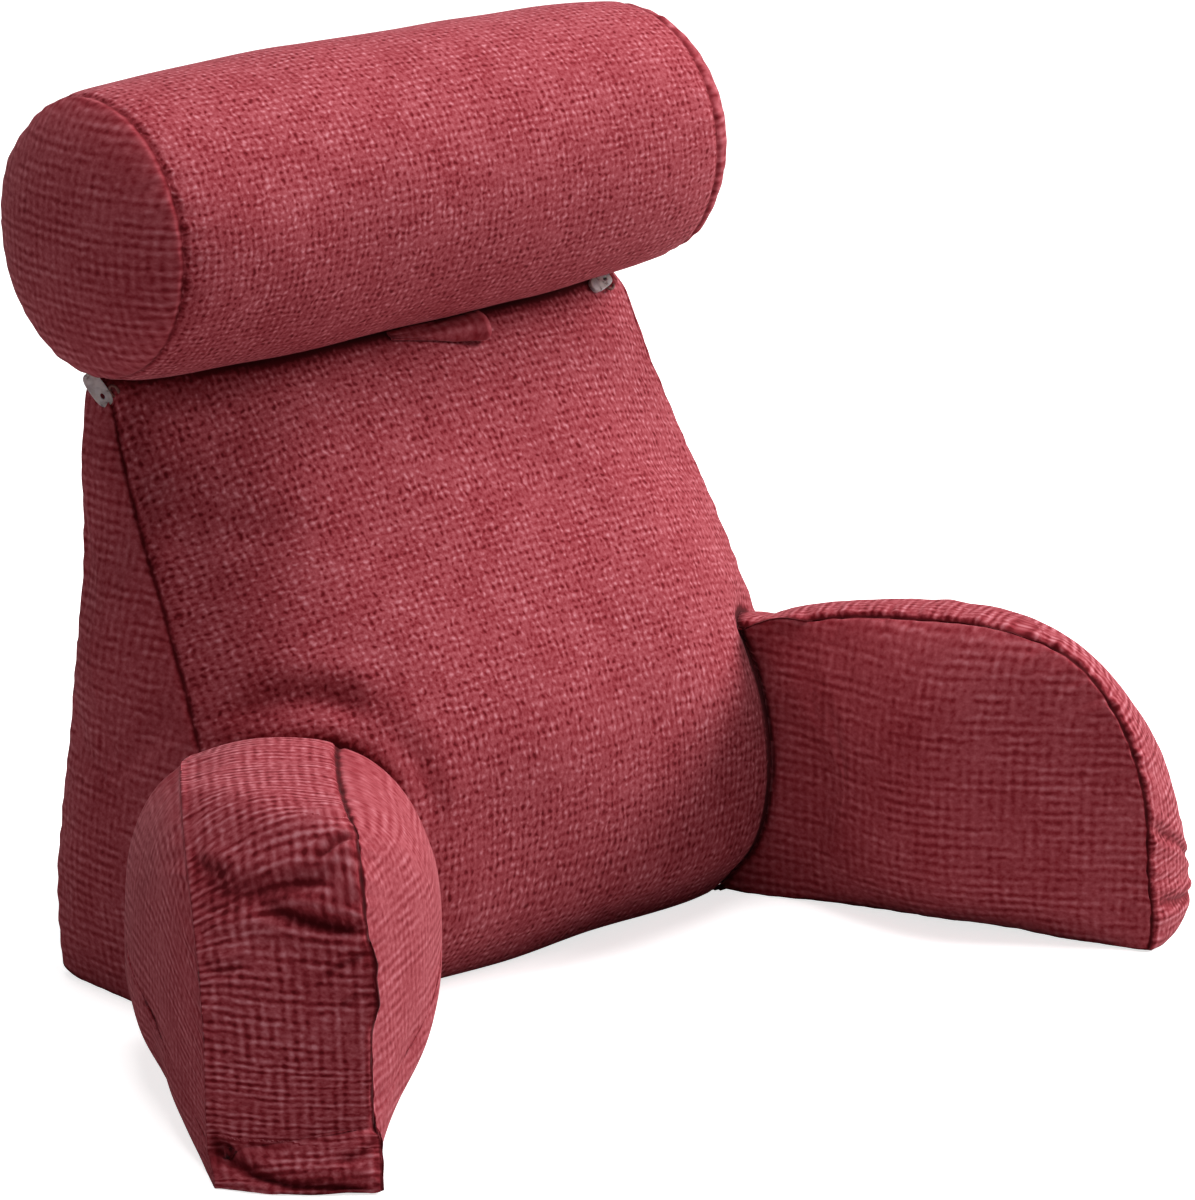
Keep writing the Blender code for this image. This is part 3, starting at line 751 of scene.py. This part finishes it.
def skin_distance(points, mesh):
    """Metres from each point to a mesh's surface."""
    skin = skin_of(mesh)
    found = [skin.find_nearest(Vector(point), SEARCH)[3] for point in points.reshape(-1, 3).tolist()]
    return np.array([SEARCH if away is None else away for away in found]).reshape(points.shape[:-1])


def draw_in(points, painted_shade, away, depth, half_width):
    """Sinks the cloth beside a seam that joins it to its neighbour, and paints shade along the join."""
    sink = depth * bell(away, half_width)
    # painted shade in the joint where the two cushions meet
    painted_shade = np.maximum(painted_shade, 0.95 * bell(away, 0.0026))
    return points - grid_normals(points) * sink[..., None], painted_shade


# %% Shape the back cushion
def roll_tube(band):
    """The neck roll's radius from its left seam (-1) to its right one (1)."""
    straight = blend(*ROLL_RADIUS, (band + 1) / 2)
    return straight * (1 - 0.055 * np.abs(band) ** 6) + ROLL_BARREL * (1 - band**2)


def keep_clear_of_roll(points):
    """Moves what would lie in the neck roll out to its surface, as its weight does."""
    axis = np.array([math.cos(ROLL_RISE), 0.0, math.sin(ROLL_RISE)])
    from_centre = points - ROLL_CENTRE
    along = from_centre @ axis
    radial = from_centre - along[..., None] * axis
    distance = np.linalg.norm(radial, axis=-1)
    share = np.clip(along / ROLL_SEAM_LENGTH + 0.5, 0.0, 1.0)
    wanted = roll_tube(2 * share - 1) + GAP
    push = np.maximum(wanted - distance, 0.0)
    return points + radial / np.maximum(distance, 1e-9)[..., None] * push[..., None]


def floor_flat(points):
    points[..., 2] = np.maximum(points[..., 2], 0.0)
    return points


CUSHION_FOLDS = (
    # depth, half width, ridge, painted shade, path: first the pull above the left arm
    (
        *(0.004, 0.0085, 0.35, 0.1),
        *((-0.203, 0.176), (-0.191, 0.182), (-0.177, 0.183), (-0.16, 0.179), (-0.144, 0.172), (-0.13, 0.161)),
    ),
    (0.0014, 0.008, 0.3, 0.0, (-0.125, 0.15), (-0.112, 0.128), (-0.104, 0.1)),
    # the slack beside the right arm
    (0.0016, 0.009, 0.3, 0.0, (0.196, 0.176), (0.172, 0.16), (0.16, 0.13), (0.158, 0.08)),
)
rows, points, band_map, face_map, run = back_cushion_grid()
points = filled("cushion", points, rows, 1)
points, fold_shade = press_folds(points, rows, band_map, CUSHION_FOLDS)
# the cushion's seams and folds, with painted shade along them
cushion_points, cushion_shade = press_seams(points, rows, run, 11, 0.001, (0.0022, 0.0022), (0.5, 0.4))
cushion_shade = np.maximum(cushion_shade, fold_shade)
cushion_rows, cushion_maps = rows, (band_map, face_map)
print("Back cushion grid:", cushion_points.shape)

# %% [markdown]
# ## The neck roll
# The bolster is a tube with a round panel sewn into each end, stuffed tight, so the ends dome out and
# the tube closes in a little on its seams.


# %% Shape the neck roll
ROLL_DOME = (0.030, 0.034)


def neck_roll_grid(around=240):
    rows = panel_rows(ROLL_SEAM_LENGTH, 0.079, face_first=0.0002)
    band, disc, side = (column[:, None] for column in rows.T)
    turn = np.linspace(0.0, 2 * math.pi, around + 1)
    radius = roll_tube(band) * disc
    dome = np.where(side < 0, *ROLL_DOME)
    x = band * ROLL_SEAM_LENGTH / 2 + side * dome * (1 - disc**2) ** 0.6
    y, z = radius * np.cos(turn), radius * np.sin(turn)
    x = x + 0 * y
    along, over = math.cos(ROLL_RISE), math.sin(ROLL_RISE)
    points = ROLL_CENTRE + np.stack([x * along - z * over, y, x * over + z * along], axis=2)
    band_map = np.stack([x, turn * ROLL_RADIUS[0] + 0 * x], axis=2)
    face_map = np.stack([y, z], axis=2)
    return rows, points, band_map, face_map, turn * ROLL_RADIUS[0]


rows, points, band_map, face_map, run = neck_roll_grid()
points = filled("roll", points, rows, 2)
# the roll's seams, with painted shade along them
points, painted_shade = press_seams(points, rows, run, 21, 0.001, (0.0012, 0.0012), (0.3, 0.3))
roll_mesh = cloth_mesh("neck_roll", points, rows, band_map, face_map, painted_shade, nubby_cloth)
neck_roll = add_piece("neck_roll_cover", roll_mesh, "woven_cloth", "neck_roll")

# %% [markdown]
# ## The arms
# Each arm is two curved face panels joined by a gusset that runs over its top, round its tip and under
# its sole. Its fill swells the inner face most, close to the cushion. The arm's root runs on into the
# cushion and is then cut off along the cushion's skin, as the sewn joint is.

# %% The arms' sizes
ARM_LENGTH = {"left": 0.2375, "right": 0.2455}
ARM_SPLAY_DEG = {"left": (41.7, 28.4), "right": (30.3, 21.7)}
ARM_HEIGHT = {"left": 0.184, "right": 0.1885}
ARM_OUTER_DROP = {"left": 0.007, "right": 0.018}
ARM_TIP_SKEW = {"left": 0.116, "right": 0.05}  # the outer side is this share shorter than the inner side
GUSSET_WIDTH = 0.085
GUSSET_CROWN = 0.006
ARM_ROOT = {"left": (0.1975, -0.0067), "right": (0.2017, -0.014)}
ARM_BURIED = 0.20
ARM_ROOT_SKEW = 0.8
ARM_WIDTH_SHARE = {"left": (1.03, 1.01), "right": (0.78, 1.01)}
ARM_RISE = {"left": 0.022, "right": 0.058}
ARM_TOE = {"left": 0.08, "right": 0.0}  # the share of its length that its foot reaches past its tip
ARM_CENTRE = (0.22, 0.42)
ARM_SWELL = {"left": (0.055, 0.0335), "right": (0.049, 0.040)}  # of the inner and the outer face
ARM_SWELL_TAPER = {"left": (2.35, 1.05), "right": (2.2, 1.55)}
ARM_SWELL_ROOT = {"left": (-0.5, 0.10), "right": (-0.12, 0.51)}  # where the inner swell begins and is full
ARM_OUTER_SWELL_ROOT = (-0.12, 0.10)
ARM_ROOT_DIP = {"left": 0.095, "right": 0.03}
ARM_PINCH = {"left": 0.011, "right": 0.0}  # draws the outer seam in to the cushion's side seam
ARM_LEVEL = {"left": (0.687, 0.38), "right": (0.44, 0.356)}
ARM_ROUND = {"left": (2.54, 1.83), "right": (2.95, 2.22)}


def arm_outline(hand, along, share=0.0):
    """The arm's height at a share along it, at the inner seam (share 0) to the outer seam (share 1)."""
    level, power = blend(*ARM_LEVEL[hand], share), blend(*ARM_ROUND[hand], share)
    dip = ARM_ROOT_DIP[hand] * (1 - smooth_step(-0.16, 0.16, along))
    rise = 1.0 - ARM_RISE[hand] * (1 - along / level) - dip
    fall = np.clip((along - level) / (1 - level), 0.0, 1.0)
    return np.where(along <= level, rise, (1 - fall**power) ** (1 / power))


def arm_spine(hand, along):
    steps = 24
    root, tip = (math.radians(angle) for angle in ARM_SPLAY_DEG[hand])
    turn = (tip - root) / ARM_LENGTH[hand]
    x, y = ARM_ROOT[hand]
    for j in range(steps):
        angle = root + turn * along * (j + 0.5) / steps
        x = x + np.sin(angle) * along / steps
        y = y - np.cos(angle) * along / steps
    angle = root + turn * along
    return x, y, np.cos(angle), np.sin(angle)


def arm_rim(hand, length, count):
    top = (-ARM_BURIED, -0.08, 0.1, 0.3, 0.5, 0.64, 0.75, 0.84, 0.91, 0.96, 0.985, 0.998)
    shares = [(along, float(arm_outline(hand, np.float64(along)))) for along in top]
    toe = ARM_TOE[hand]
    shares += [(1.004 + 0.3 * toe, 0.16), (0.998 + toe, 0.03), (0.95 + toe, 0.0), (0.7, 0.0)]
    shares += [(0.3, 0.0), (-0.1, 0.0)]
    shares += [(-ARM_BURIED, 0.02), (-ARM_BURIED - 0.015, 0.3), (-ARM_BURIED - 0.015, 0.7)]
    rim = [(along * length, height * ARM_HEIGHT[hand]) for along, height in shares]

    def density(at):
        hidden = (at[:, 1] < 0.002) | (at[:, 0] < -0.12 * length)
        return np.where(hidden, 0.45, np.where(at[:, 0] > 0.6 * length, 2.0, 1.0))

    return spaced_curve(rim, count, density)


def arm_grid(hand, around=560):
    mirror = 1 if hand == "right" else -1
    length = ARM_LENGTH[hand]
    rows = panel_rows(GUSSET_WIDTH, 0.10, last=0.0026, face_first=0.0002)
    band, disc, side = (column[:, None] for column in rows.T)
    rim = arm_rim(hand, length, around)
    centre = np.array([ARM_CENTRE[0] * length, ARM_CENTRE[1] * ARM_HEIGHT[hand]])
    outward = outward_normals(rim, centre)
    rim_along, rim_height, run = rim.T
    share = (band + 1) / 2
    crown = np.where(disc >= 1.0, GUSSET_CROWN * (1 - band**2), 0.0)
    along = centre[0] + (rim_along - centre[0]) * disc + outward[:, 0] * crown
    height = centre[1] + (rim_height - centre[1]) * disc + outward[:, 1] * crown
    face = (side > 0).astype(int)
    taper = np.clip((along / length - 0.2) / 0.8, 0.0, 1.0)
    inner_fall, outer_fall = ARM_SWELL_TAPER[hand]
    taper = np.where(face, taper**outer_fall, taper**inner_fall)
    bulge = np.array(ARM_SWELL[hand])[face] * (1 - disc**2.6) ** 0.7 * (1 - taper)
    bulge *= 1 - np.exp(-(1 - disc) / 0.04)
    inner_rise = smooth_step(*ARM_SWELL_ROOT[hand], along / length)
    bulge = bulge * np.where(face, smooth_step(*ARM_OUTER_SWELL_ROOT, along / length), inner_rise)
    flat_along, flat_height = along, height
    along = np.where(along < 0, along * (1 - ARM_ROOT_SKEW * share), along)
    width = GUSSET_WIDTH * blend(*ARM_WIDTH_SHARE[hand], np.minimum(along / length, 1.0))
    across = band * width / 2 + side * bulge
    pinch = ARM_PINCH[hand] * (1 - smooth_step(0.0, 0.2, along / length)) * np.maximum(band, 0.0)
    across = across - pinch * smooth_step(0.3, 0.9, height / ARM_HEIGHT[hand])
    at = 0.985 * np.clip(along / length, 0.02, 1.0)
    height = height * arm_outline(hand, at, share) / arm_outline(hand, at)
    lift = np.minimum(1.0, np.maximum(height, 0) / ARM_HEIGHT[hand] * 1.3)
    height = height - ARM_OUTER_DROP[hand] * share * lift
    along = along * (1 - ARM_TIP_SKEW[hand] * share * np.clip(along / length, 0.0, 1.0))
    x, y, out_x, out_y = arm_spine(hand, along)
    x, y = mirror * (x + out_x * across), y + out_y * across + DEPTH_SHIFT
    points = np.stack([x, y, np.maximum(height, 0.0)], axis=2)
    # The gusset's rows are level where it comes down the front, so there they follow the height.
    middle = np.where(rim_along > 0.3 * length, rim_height, 1.0)
    top = run[np.argmax(middle < 0.93 * rim_height.max())]
    foot = run[np.argmax(middle < 0.004)]
    fall = np.minimum.accumulate(np.where(rim_along > 0.3 * length, points[len(rows) // 2, :, 2], 1.0))
    level = np.interp(-points[..., 2], -fall, run)
    follows = smooth_step(top - 0.05, top + 0.03, run) * (1 - smooth_step(foot - 0.045, foot - 0.005, run))
    level = blend(run + 0 * band, level, follows)
    band_map = np.stack([band * GUSSET_WIDTH / 2 + 0 * run, level], axis=2)
    face_map = np.stack([flat_along, flat_height], axis=2)
    return rows, points, band_map, face_map, run


# %% Shape both arms and cut them off at the cushion
def grown_copy(piece, by):
    """A copy of a piece with its skin moved outward, to cut others with."""
    mesh = piece.data.copy()
    normals = np.zeros(len(mesh.vertices) * 3, np.float32)
    mesh.vertex_normals.foreach_get("vector", normals)
    mesh.vertices.foreach_set("co", (vertices_of(mesh).ravel() + normals * by).astype(np.float32))
    return new_object("cutter", mesh)


def finished_mesh(name, guide):
    """The mesh of an object with its modifiers or its curve worked out. The object goes."""
    mesh = bpy.data.meshes.new_from_object(guide.evaluated_get(bpy.context.evaluated_depsgraph_get()))
    bpy.data.objects.remove(guide)
    mesh.name = name
    return mesh


def cut_away(mesh, cutter):
    """The mesh without what lies in the cutter, its cloth map kept."""
    guide = new_object("guide", mesh)
    made = guide.modifiers.new("cut", "BOOLEAN")
    made.object, made.operation, made.solver = cutter, "DIFFERENCE", "MANIFOLD"
    return finished_mesh(mesh.name, guide)


ARM_FOLDS = {
    # depth, half width, ridge, painted shade, path: across the gusset from its middle, outward above 0,
    # and along the rim
    "left": (
        (0.002, 0.0026, 0.5, 0.35, (0.0407, 0.2071), (0.0325, 0.2188), (0.0231, 0.2298)),
        (0.0012, 0.0022, 0.5, 0.2, (0.04, 0.212), (0.0345, 0.2235), (0.027, 0.234)),
        (0.002, 0.0026, 0.5, 0.35, (-0.04, 0.235), (-0.0273, 0.241), (-0.0175, 0.2461)),
        (
            *(0.003, 0.0042, 0.5, 0.3),
            *((0.0415, 0.2203), (0.0239, 0.2351), (0.0073, 0.2444), (-0.0105, 0.2508), (-0.0272, 0.2584)),
        ),
        (0.0014, 0.0024, 0.4, 0.2, (0.0415, 0.229), (0.029, 0.24), (0.016, 0.247)),
        (
            *(0.0036, 0.0027, 0.6, 0.5),
            *((0.012, 0.2475), (-0.0017, 0.258), (-0.0134, 0.2684), (-0.0259, 0.2805), (-0.0395, 0.292)),
        ),
        (0.0012, 0.0024, 0.5, 0.18, (0.042, 0.256), (0.032, 0.264), (0.02, 0.269)),
        (0.0012, 0.0024, 0.5, 0.18, (-0.041, 0.305), (-0.03, 0.301), (-0.018, 0.299)),
        (0.001, 0.0024, 0.5, 0.15, (-0.041, 0.326), (-0.032, 0.323), (-0.024, 0.3215)),
        (
            *(0.0046, 0.0044, 0.3, 0.4),
            *((0.041, 0.374), (0.0362, 0.394), (0.0334, 0.4079), (0.0223, 0.4239), (0.0056, 0.4322)),
            *((-0.0143, 0.4339), (-0.04, 0.4369)),
        ),
        (0.002, 0.003, 0.4, 0.25, (-0.041, 0.408), (-0.033, 0.416), (-0.02, 0.421)),
    ),
    "right": (
        (0.0016, 0.004, 0.4, 0.2, (-0.04, 0.356), (0.0, 0.364), (0.04, 0.38)),
        (0.0022, 0.004, 0.4, 0.25, (-0.04, 0.402), (0.0, 0.408), (0.04, 0.412)),
    ),
}
ARM_SEAM_SINK = {"left": (0.0024, -0.0009), "right": (0.0026, 0.0012)}  # of the inner and outer seam
# how dark shade is painted along the inner and outer seam
ARM_SEAM_SHADE = {"left": (1.0, 0.15), "right": (0.85, 0.4)}
arm_grids = {}
for seed, hand in ((31, "left"), (41, "right")):
    rows, points, band_map, face_map, run = arm_grid(hand)
    points = filled("arm", points, rows, seed)
    flat = np.stack([rows[:, :1] * GUSSET_WIDTH / 2 + 0 * run, run + 0 * rows[:, :1]], axis=2)
    points, fold_shade = press_folds(points, rows, flat, ARM_FOLDS[hand])
    points, painted_shade = press_seams(points, rows, run, seed, 0.0014, ARM_SEAM_SINK[hand], ARM_SEAM_SHADE[hand])
    arm_grids[hand] = (floor_flat(points), rows, band_map, face_map, np.maximum(painted_shade, fold_shade))
    away = skin_distance(cushion_points, cloth_mesh("arm", *arm_grids[hand], gusset_cloth))
    cushion_points, cushion_shade = draw_in(cushion_points, cushion_shade, away, 0.0022, 0.0045)

cushion_points = floor_flat(keep_clear_of_roll(cushion_points))
under_roll = bell(skin_distance(cushion_points, roll_mesh), 0.0045)
cushion_shade = np.maximum(cushion_shade, 0.9 * under_roll)  # the deep shade where the roll rests
cushion_mesh = cloth_mesh(
    "back_cushion", cushion_points, cushion_rows, *cushion_maps, cushion_shade, nubby_cloth
)
back_cushion = add_piece("back_cushion_cover", cushion_mesh, "woven_cloth", "back_cushion")

cutter = grown_copy(back_cushion, GAP)
for hand, (points, rows, band_map, face_map, painted_shade) in arm_grids.items():
    points, painted_shade = draw_in(points, painted_shade, skin_distance(points, cushion_mesh), 0.0016, 0.0050)
    mesh = cloth_mesh(f"arm_{hand}", floor_flat(points), rows, band_map, face_map, painted_shade, gusset_cloth)
    arm = add_piece(f"arm_{hand}_cover", cut_away(mesh, cutter), "woven_cloth", f"arm_{hand}")
bpy.data.objects.remove(cutter)

# %% [markdown]
# ## The fittings
# The clasps are milky plastic, a little cloudy inside. Each hangs in a tab of the cover's cloth and
# carries a short loop of brown elastic.


# %% Make the fittings' materials
def speckled_material(name, scale, detail, stops):
    """A material whose colour follows a fine cloud. Returns it with its tree, shader and cloud."""
    made, tree, shader = new_material(name)
    place = wire(tree, "ShaderNodeTexCoord").outputs["Object"]
    links = {"Vector": place, "Scale": scale, "Detail": detail}
    cloud = wire(tree, "ShaderNodeTexNoise", links).outputs["Fac"]
    feed(tree, shader, {"Base Color": colour_stops(tree, cloud, stops)})
    return made, tree, shader, cloud


def clasp_material():
    stops = ((0.35, (0.46, 0.41, 0.41)), (0.65, (0.74, 0.71, 0.71)))
    made, tree, shader, cloud = speckled_material("milky_plastic", 220.0, 3.0, stops)
    finish = {"Transmission Weight": 0.25, "Subsurface Weight": 0.2, "Subsurface Scale": 0.004}
    feed(tree, shader, finish | {"Roughness": ramp(tree, cloud, 0.3, 0.7, 0.25, 0.45)})
    return made


def fitting_cloth():
    """The cover's cloth, seen so small that only its yarns' colours show."""
    stops = ((0.35, (0.22, 0.025, 0.035)), (0.70, (0.46, 0.120, 0.140)))
    made, tree, shader, cloud = speckled_material("fitting_cloth", 420.0, 2.0, stops)
    bump = wire(tree, "ShaderNodeBump", {"Strength": 0.3, "Distance": 0.0006, "Height": cloud})
    finish = {"Roughness": 0.9, "Specular IOR Level": 0.15, "Normal": bump.outputs["Normal"]}
    feed(tree, shader, finish)
    return made


def elastic_material():
    made, tree, shader = new_material("brown_elastic", base_color=(0.20, 0.085, 0.075, 1.0))
    grain = wire(tree, "ShaderNodeTexNoise", {"Scale": 900.0}).outputs["Fac"]
    feed(tree, shader, {"Roughness": ramp(tree, grain, 0.3, 0.7, 0.55, 0.85)})
    return made


MILKY, TAB_CLOTH, ELASTIC = clasp_material(), fitting_cloth(), elastic_material()
print("Fitting materials:", MILKY.name, TAB_CLOTH.name, ELASTIC.name)


# %% Mould the clasps, each with its cloth tab and its elastic loop
CLASP_SIZE = (0.0088, 0.0215)  # width and length
CLASP_HOLE = (0.0030, 0.0046)
HOLE_DROP = 0.0045  # from the clasp's middle
LOOP_SIZE = (0.0044, 0.0068)
LOOP_BESIDE = {"left": -0.0068, "right": 0.0050}
TAB_SIZE = (0.0112, 0.0062)
CLASPS = {
    # middle, the way its length runs, and the way its flat side faces
    "left": ((-0.1990, 0.0490, 0.3478), (0.43, -0.36, -0.83), (-0.63, -0.72, 0.28)),
    "right": ((0.1610, 0.0265, 0.3535), (0.93, 0.35, 0.10), (-0.30, -0.75, 0.45)),
}


def standing(place, run, face):
    """The matrix of a thing whose Y runs along its length and whose Z faces out."""
    y = Vector(run).normalized()
    x = y.cross(Vector(face)).normalized()
    return Matrix.Translation(place) @ Matrix((x, y, x.cross(y))).transposed().to_4x4()


def oval(curve, width, length, middle=0.0, power=2.0, count=24):
    line = curve.splines.new("POLY")
    line.points.add(count - 1)
    for j, point in enumerate(line.points):
        c, s = math.cos(2 * math.pi * j / count), math.sin(2 * math.pi * j / count)
        x, y = (math.copysign(abs(value) ** (2 / power), value) for value in (c, s))
        point.co = (x * width / 2, middle + y * length / 2, 0.0, 1.0)
    line.use_cyclic_u = True


def moulded(name, matrix, material, ovals, bevel, resolution, thickness=0.0):
    """A flat plate of that thickness within the ovals, each a width, a length and oval's settings.
    Where it has no thickness, it is a rod bent along them."""
    curve = bpy.data.curves.new(name, "CURVE")
    curve.dimensions = "3D"
    if thickness:
        curve.dimensions, curve.fill_mode, curve.extrude = "2D", "BOTH", thickness / 2
    curve.bevel_depth, curve.bevel_resolution = bevel, resolution
    for size, settings in ovals:
        oval(curve, *size, **settings)
    mesh = finished_mesh(name, new_object("guide", curve))
    mesh.transform(matrix)
    mesh.materials.clear()
    mesh.materials.append(material)
    mesh.shade_smooth()
    return mesh


for hand, (place, run, face) in CLASPS.items():
    stood = standing(place, run, face)
    ovals = ((CLASP_SIZE, {"power": 3.2}), (CLASP_HOLE, {"middle": HOLE_DROP, "count": 16}))
    plate = moulded("plate", stood, MILKY, ovals, 0.0005, 2, thickness=0.0014)
    add_piece(f"clasp_{hand}_plate", plate, "clasp_plastic", f"clasp_{hand}")

    beside = stood @ Matrix.Translation((LOOP_BESIDE[hand], 0.0060, 0.0))
    loop = moulded("loop", beside, ELASTIC, ((LOOP_SIZE, {}),), 0.0009, 3)
    add_piece(f"clasp_{hand}_loop", loop, None)

    below = stood @ Matrix.Translation((0.0, CLASP_SIZE[1] / 2 + 0.0008, -0.0010))
    tab = moulded("tab", below, TAB_CLOTH, ((TAB_SIZE, {"power": 3.0}),), 0.0008, 3, thickness=0.0024)
    add_piece(f"clasp_{hand}_tab", tab, "woven_cloth", f"clasp_tab_{hand}")

# %% [markdown]
# ## The strap under the neck roll
# A short strap of the cover's cloth ties the roll to the cushion. It is folded back on itself, and its
# fold looks out between the two, open at the left and pressed flat there.


# %% Fold the centre strap
STRAP_ENDS = (-0.016, 0.046)  # its left and right edge
STRAP_FRONT = (0.012, -0.007)  # where its fold lies at each
STRAP_OPENING = (0.003, 0.014)
STRAP_BACK = 0.024
STRAP_LOW = 0.3505
STRAP_SLOPE = 0.25
STRAP_THICKNESS = 0.0016


def strap_grid(across=20, along=14):
    """Points of the folded strap's middle layer: from its back under the fold and back over it."""
    share = np.linspace(0.0, 1.0, across)[:, None]
    x = blend(*STRAP_ENDS, share)
    opening, front = blend(*STRAP_OPENING, share), blend(*STRAP_FRONT, share)
    turn = np.linspace(-math.pi / 2, math.pi / 2, 9)
    leg = np.linspace(0.0, 1.0, along)[:-1]
    y_low = blend(STRAP_BACK, front + opening / 2, leg)
    y_fold = front + opening / 2 * (1 - np.cos(turn))
    y = np.hstack([y_low, y_fold, y_low[:, ::-1]])
    up = np.hstack([0 * y_low, opening * (np.sin(turn) + 1) / 2, opening + 0 * y_low])
    z = STRAP_LOW + STRAP_SLOPE * (y - STRAP_BACK) + up
    return np.stack([x + 0 * y, y, z], axis=2)


def clear_of(points, mesh, gap):
    """Moves points out of a mesh until they are gap clear of its skin."""
    skin = skin_of(mesh)
    flat = points.reshape(-1, 3)
    for j, point in enumerate(flat.tolist()):
        place, normal, _, _ = skin.find_nearest(Vector(point))
        short = gap - (Vector(point) - place).dot(normal)
        if short > 0:
            flat[j] += np.array(normal) * short
    return flat.reshape(points.shape)


def thick_sheet(name, grid, thickness, material):
    """A closed sheet round a grid of points, with its flat map in metres."""
    along, across = np.gradient(grid, axis=0), np.gradient(grid, axis=1)
    normal = np.cross(along, across)
    normal *= thickness / 2 / np.linalg.norm(normal, axis=2, keepdims=True)
    m, n = grid.shape[:2]
    verts = np.vstack([(grid + normal).reshape(-1, 3), (grid - normal).reshape(-1, 3)])
    index = np.arange(m * n).reshape(m, n)
    quads = np.stack([index[:-1, :-1], index[1:, :-1], index[1:, 1:], index[:-1, 1:]], axis=2)
    quads = quads.reshape(-1, 4)
    rim = np.concatenate([index[:-1, 0], index[-1, :-1], index[:0:-1, -1], index[0, :0:-1]])
    after = np.roll(rim, -1)
    walls = np.column_stack([rim, rim + m * n, after + m * n, after])
    faces = np.vstack([quads, quads[:, ::-1] + m * n, walls])
    mesh = bpy.data.meshes.new(name)
    mesh.from_pydata(verts.tolist(), [], faces.tolist())
    run_x, run_y = run_so_far(grid[:, n // 2]), run_so_far(grid[m // 2])
    flat = np.tile(np.stack(np.meshgrid(run_x, run_y, indexing="ij"), axis=2).reshape(-1, 2), (2, 1))
    add_cloth_map(mesh, flat[faces.ravel()])
    mesh.materials.append(material)
    face_out(mesh)
    return mesh, (float(run_x[-1]), float(run_y[-1]))


half = STRAP_THICKNESS / 2 + GAP
grid = clear_of(clear_of(strap_grid(), cushion_mesh, half), roll_mesh, half)
strap_cloth, strap_flat = thick_sheet("strap", grid, STRAP_THICKNESS, ribbed_cloth)
strap = add_piece("centre_strap_cloth", strap_cloth, "woven_cloth", "centre_strap")
print(f"Strap: cut to {strap_flat[0] * 1000:.0f} x {strap_flat[1] * 1000:.0f} mm")
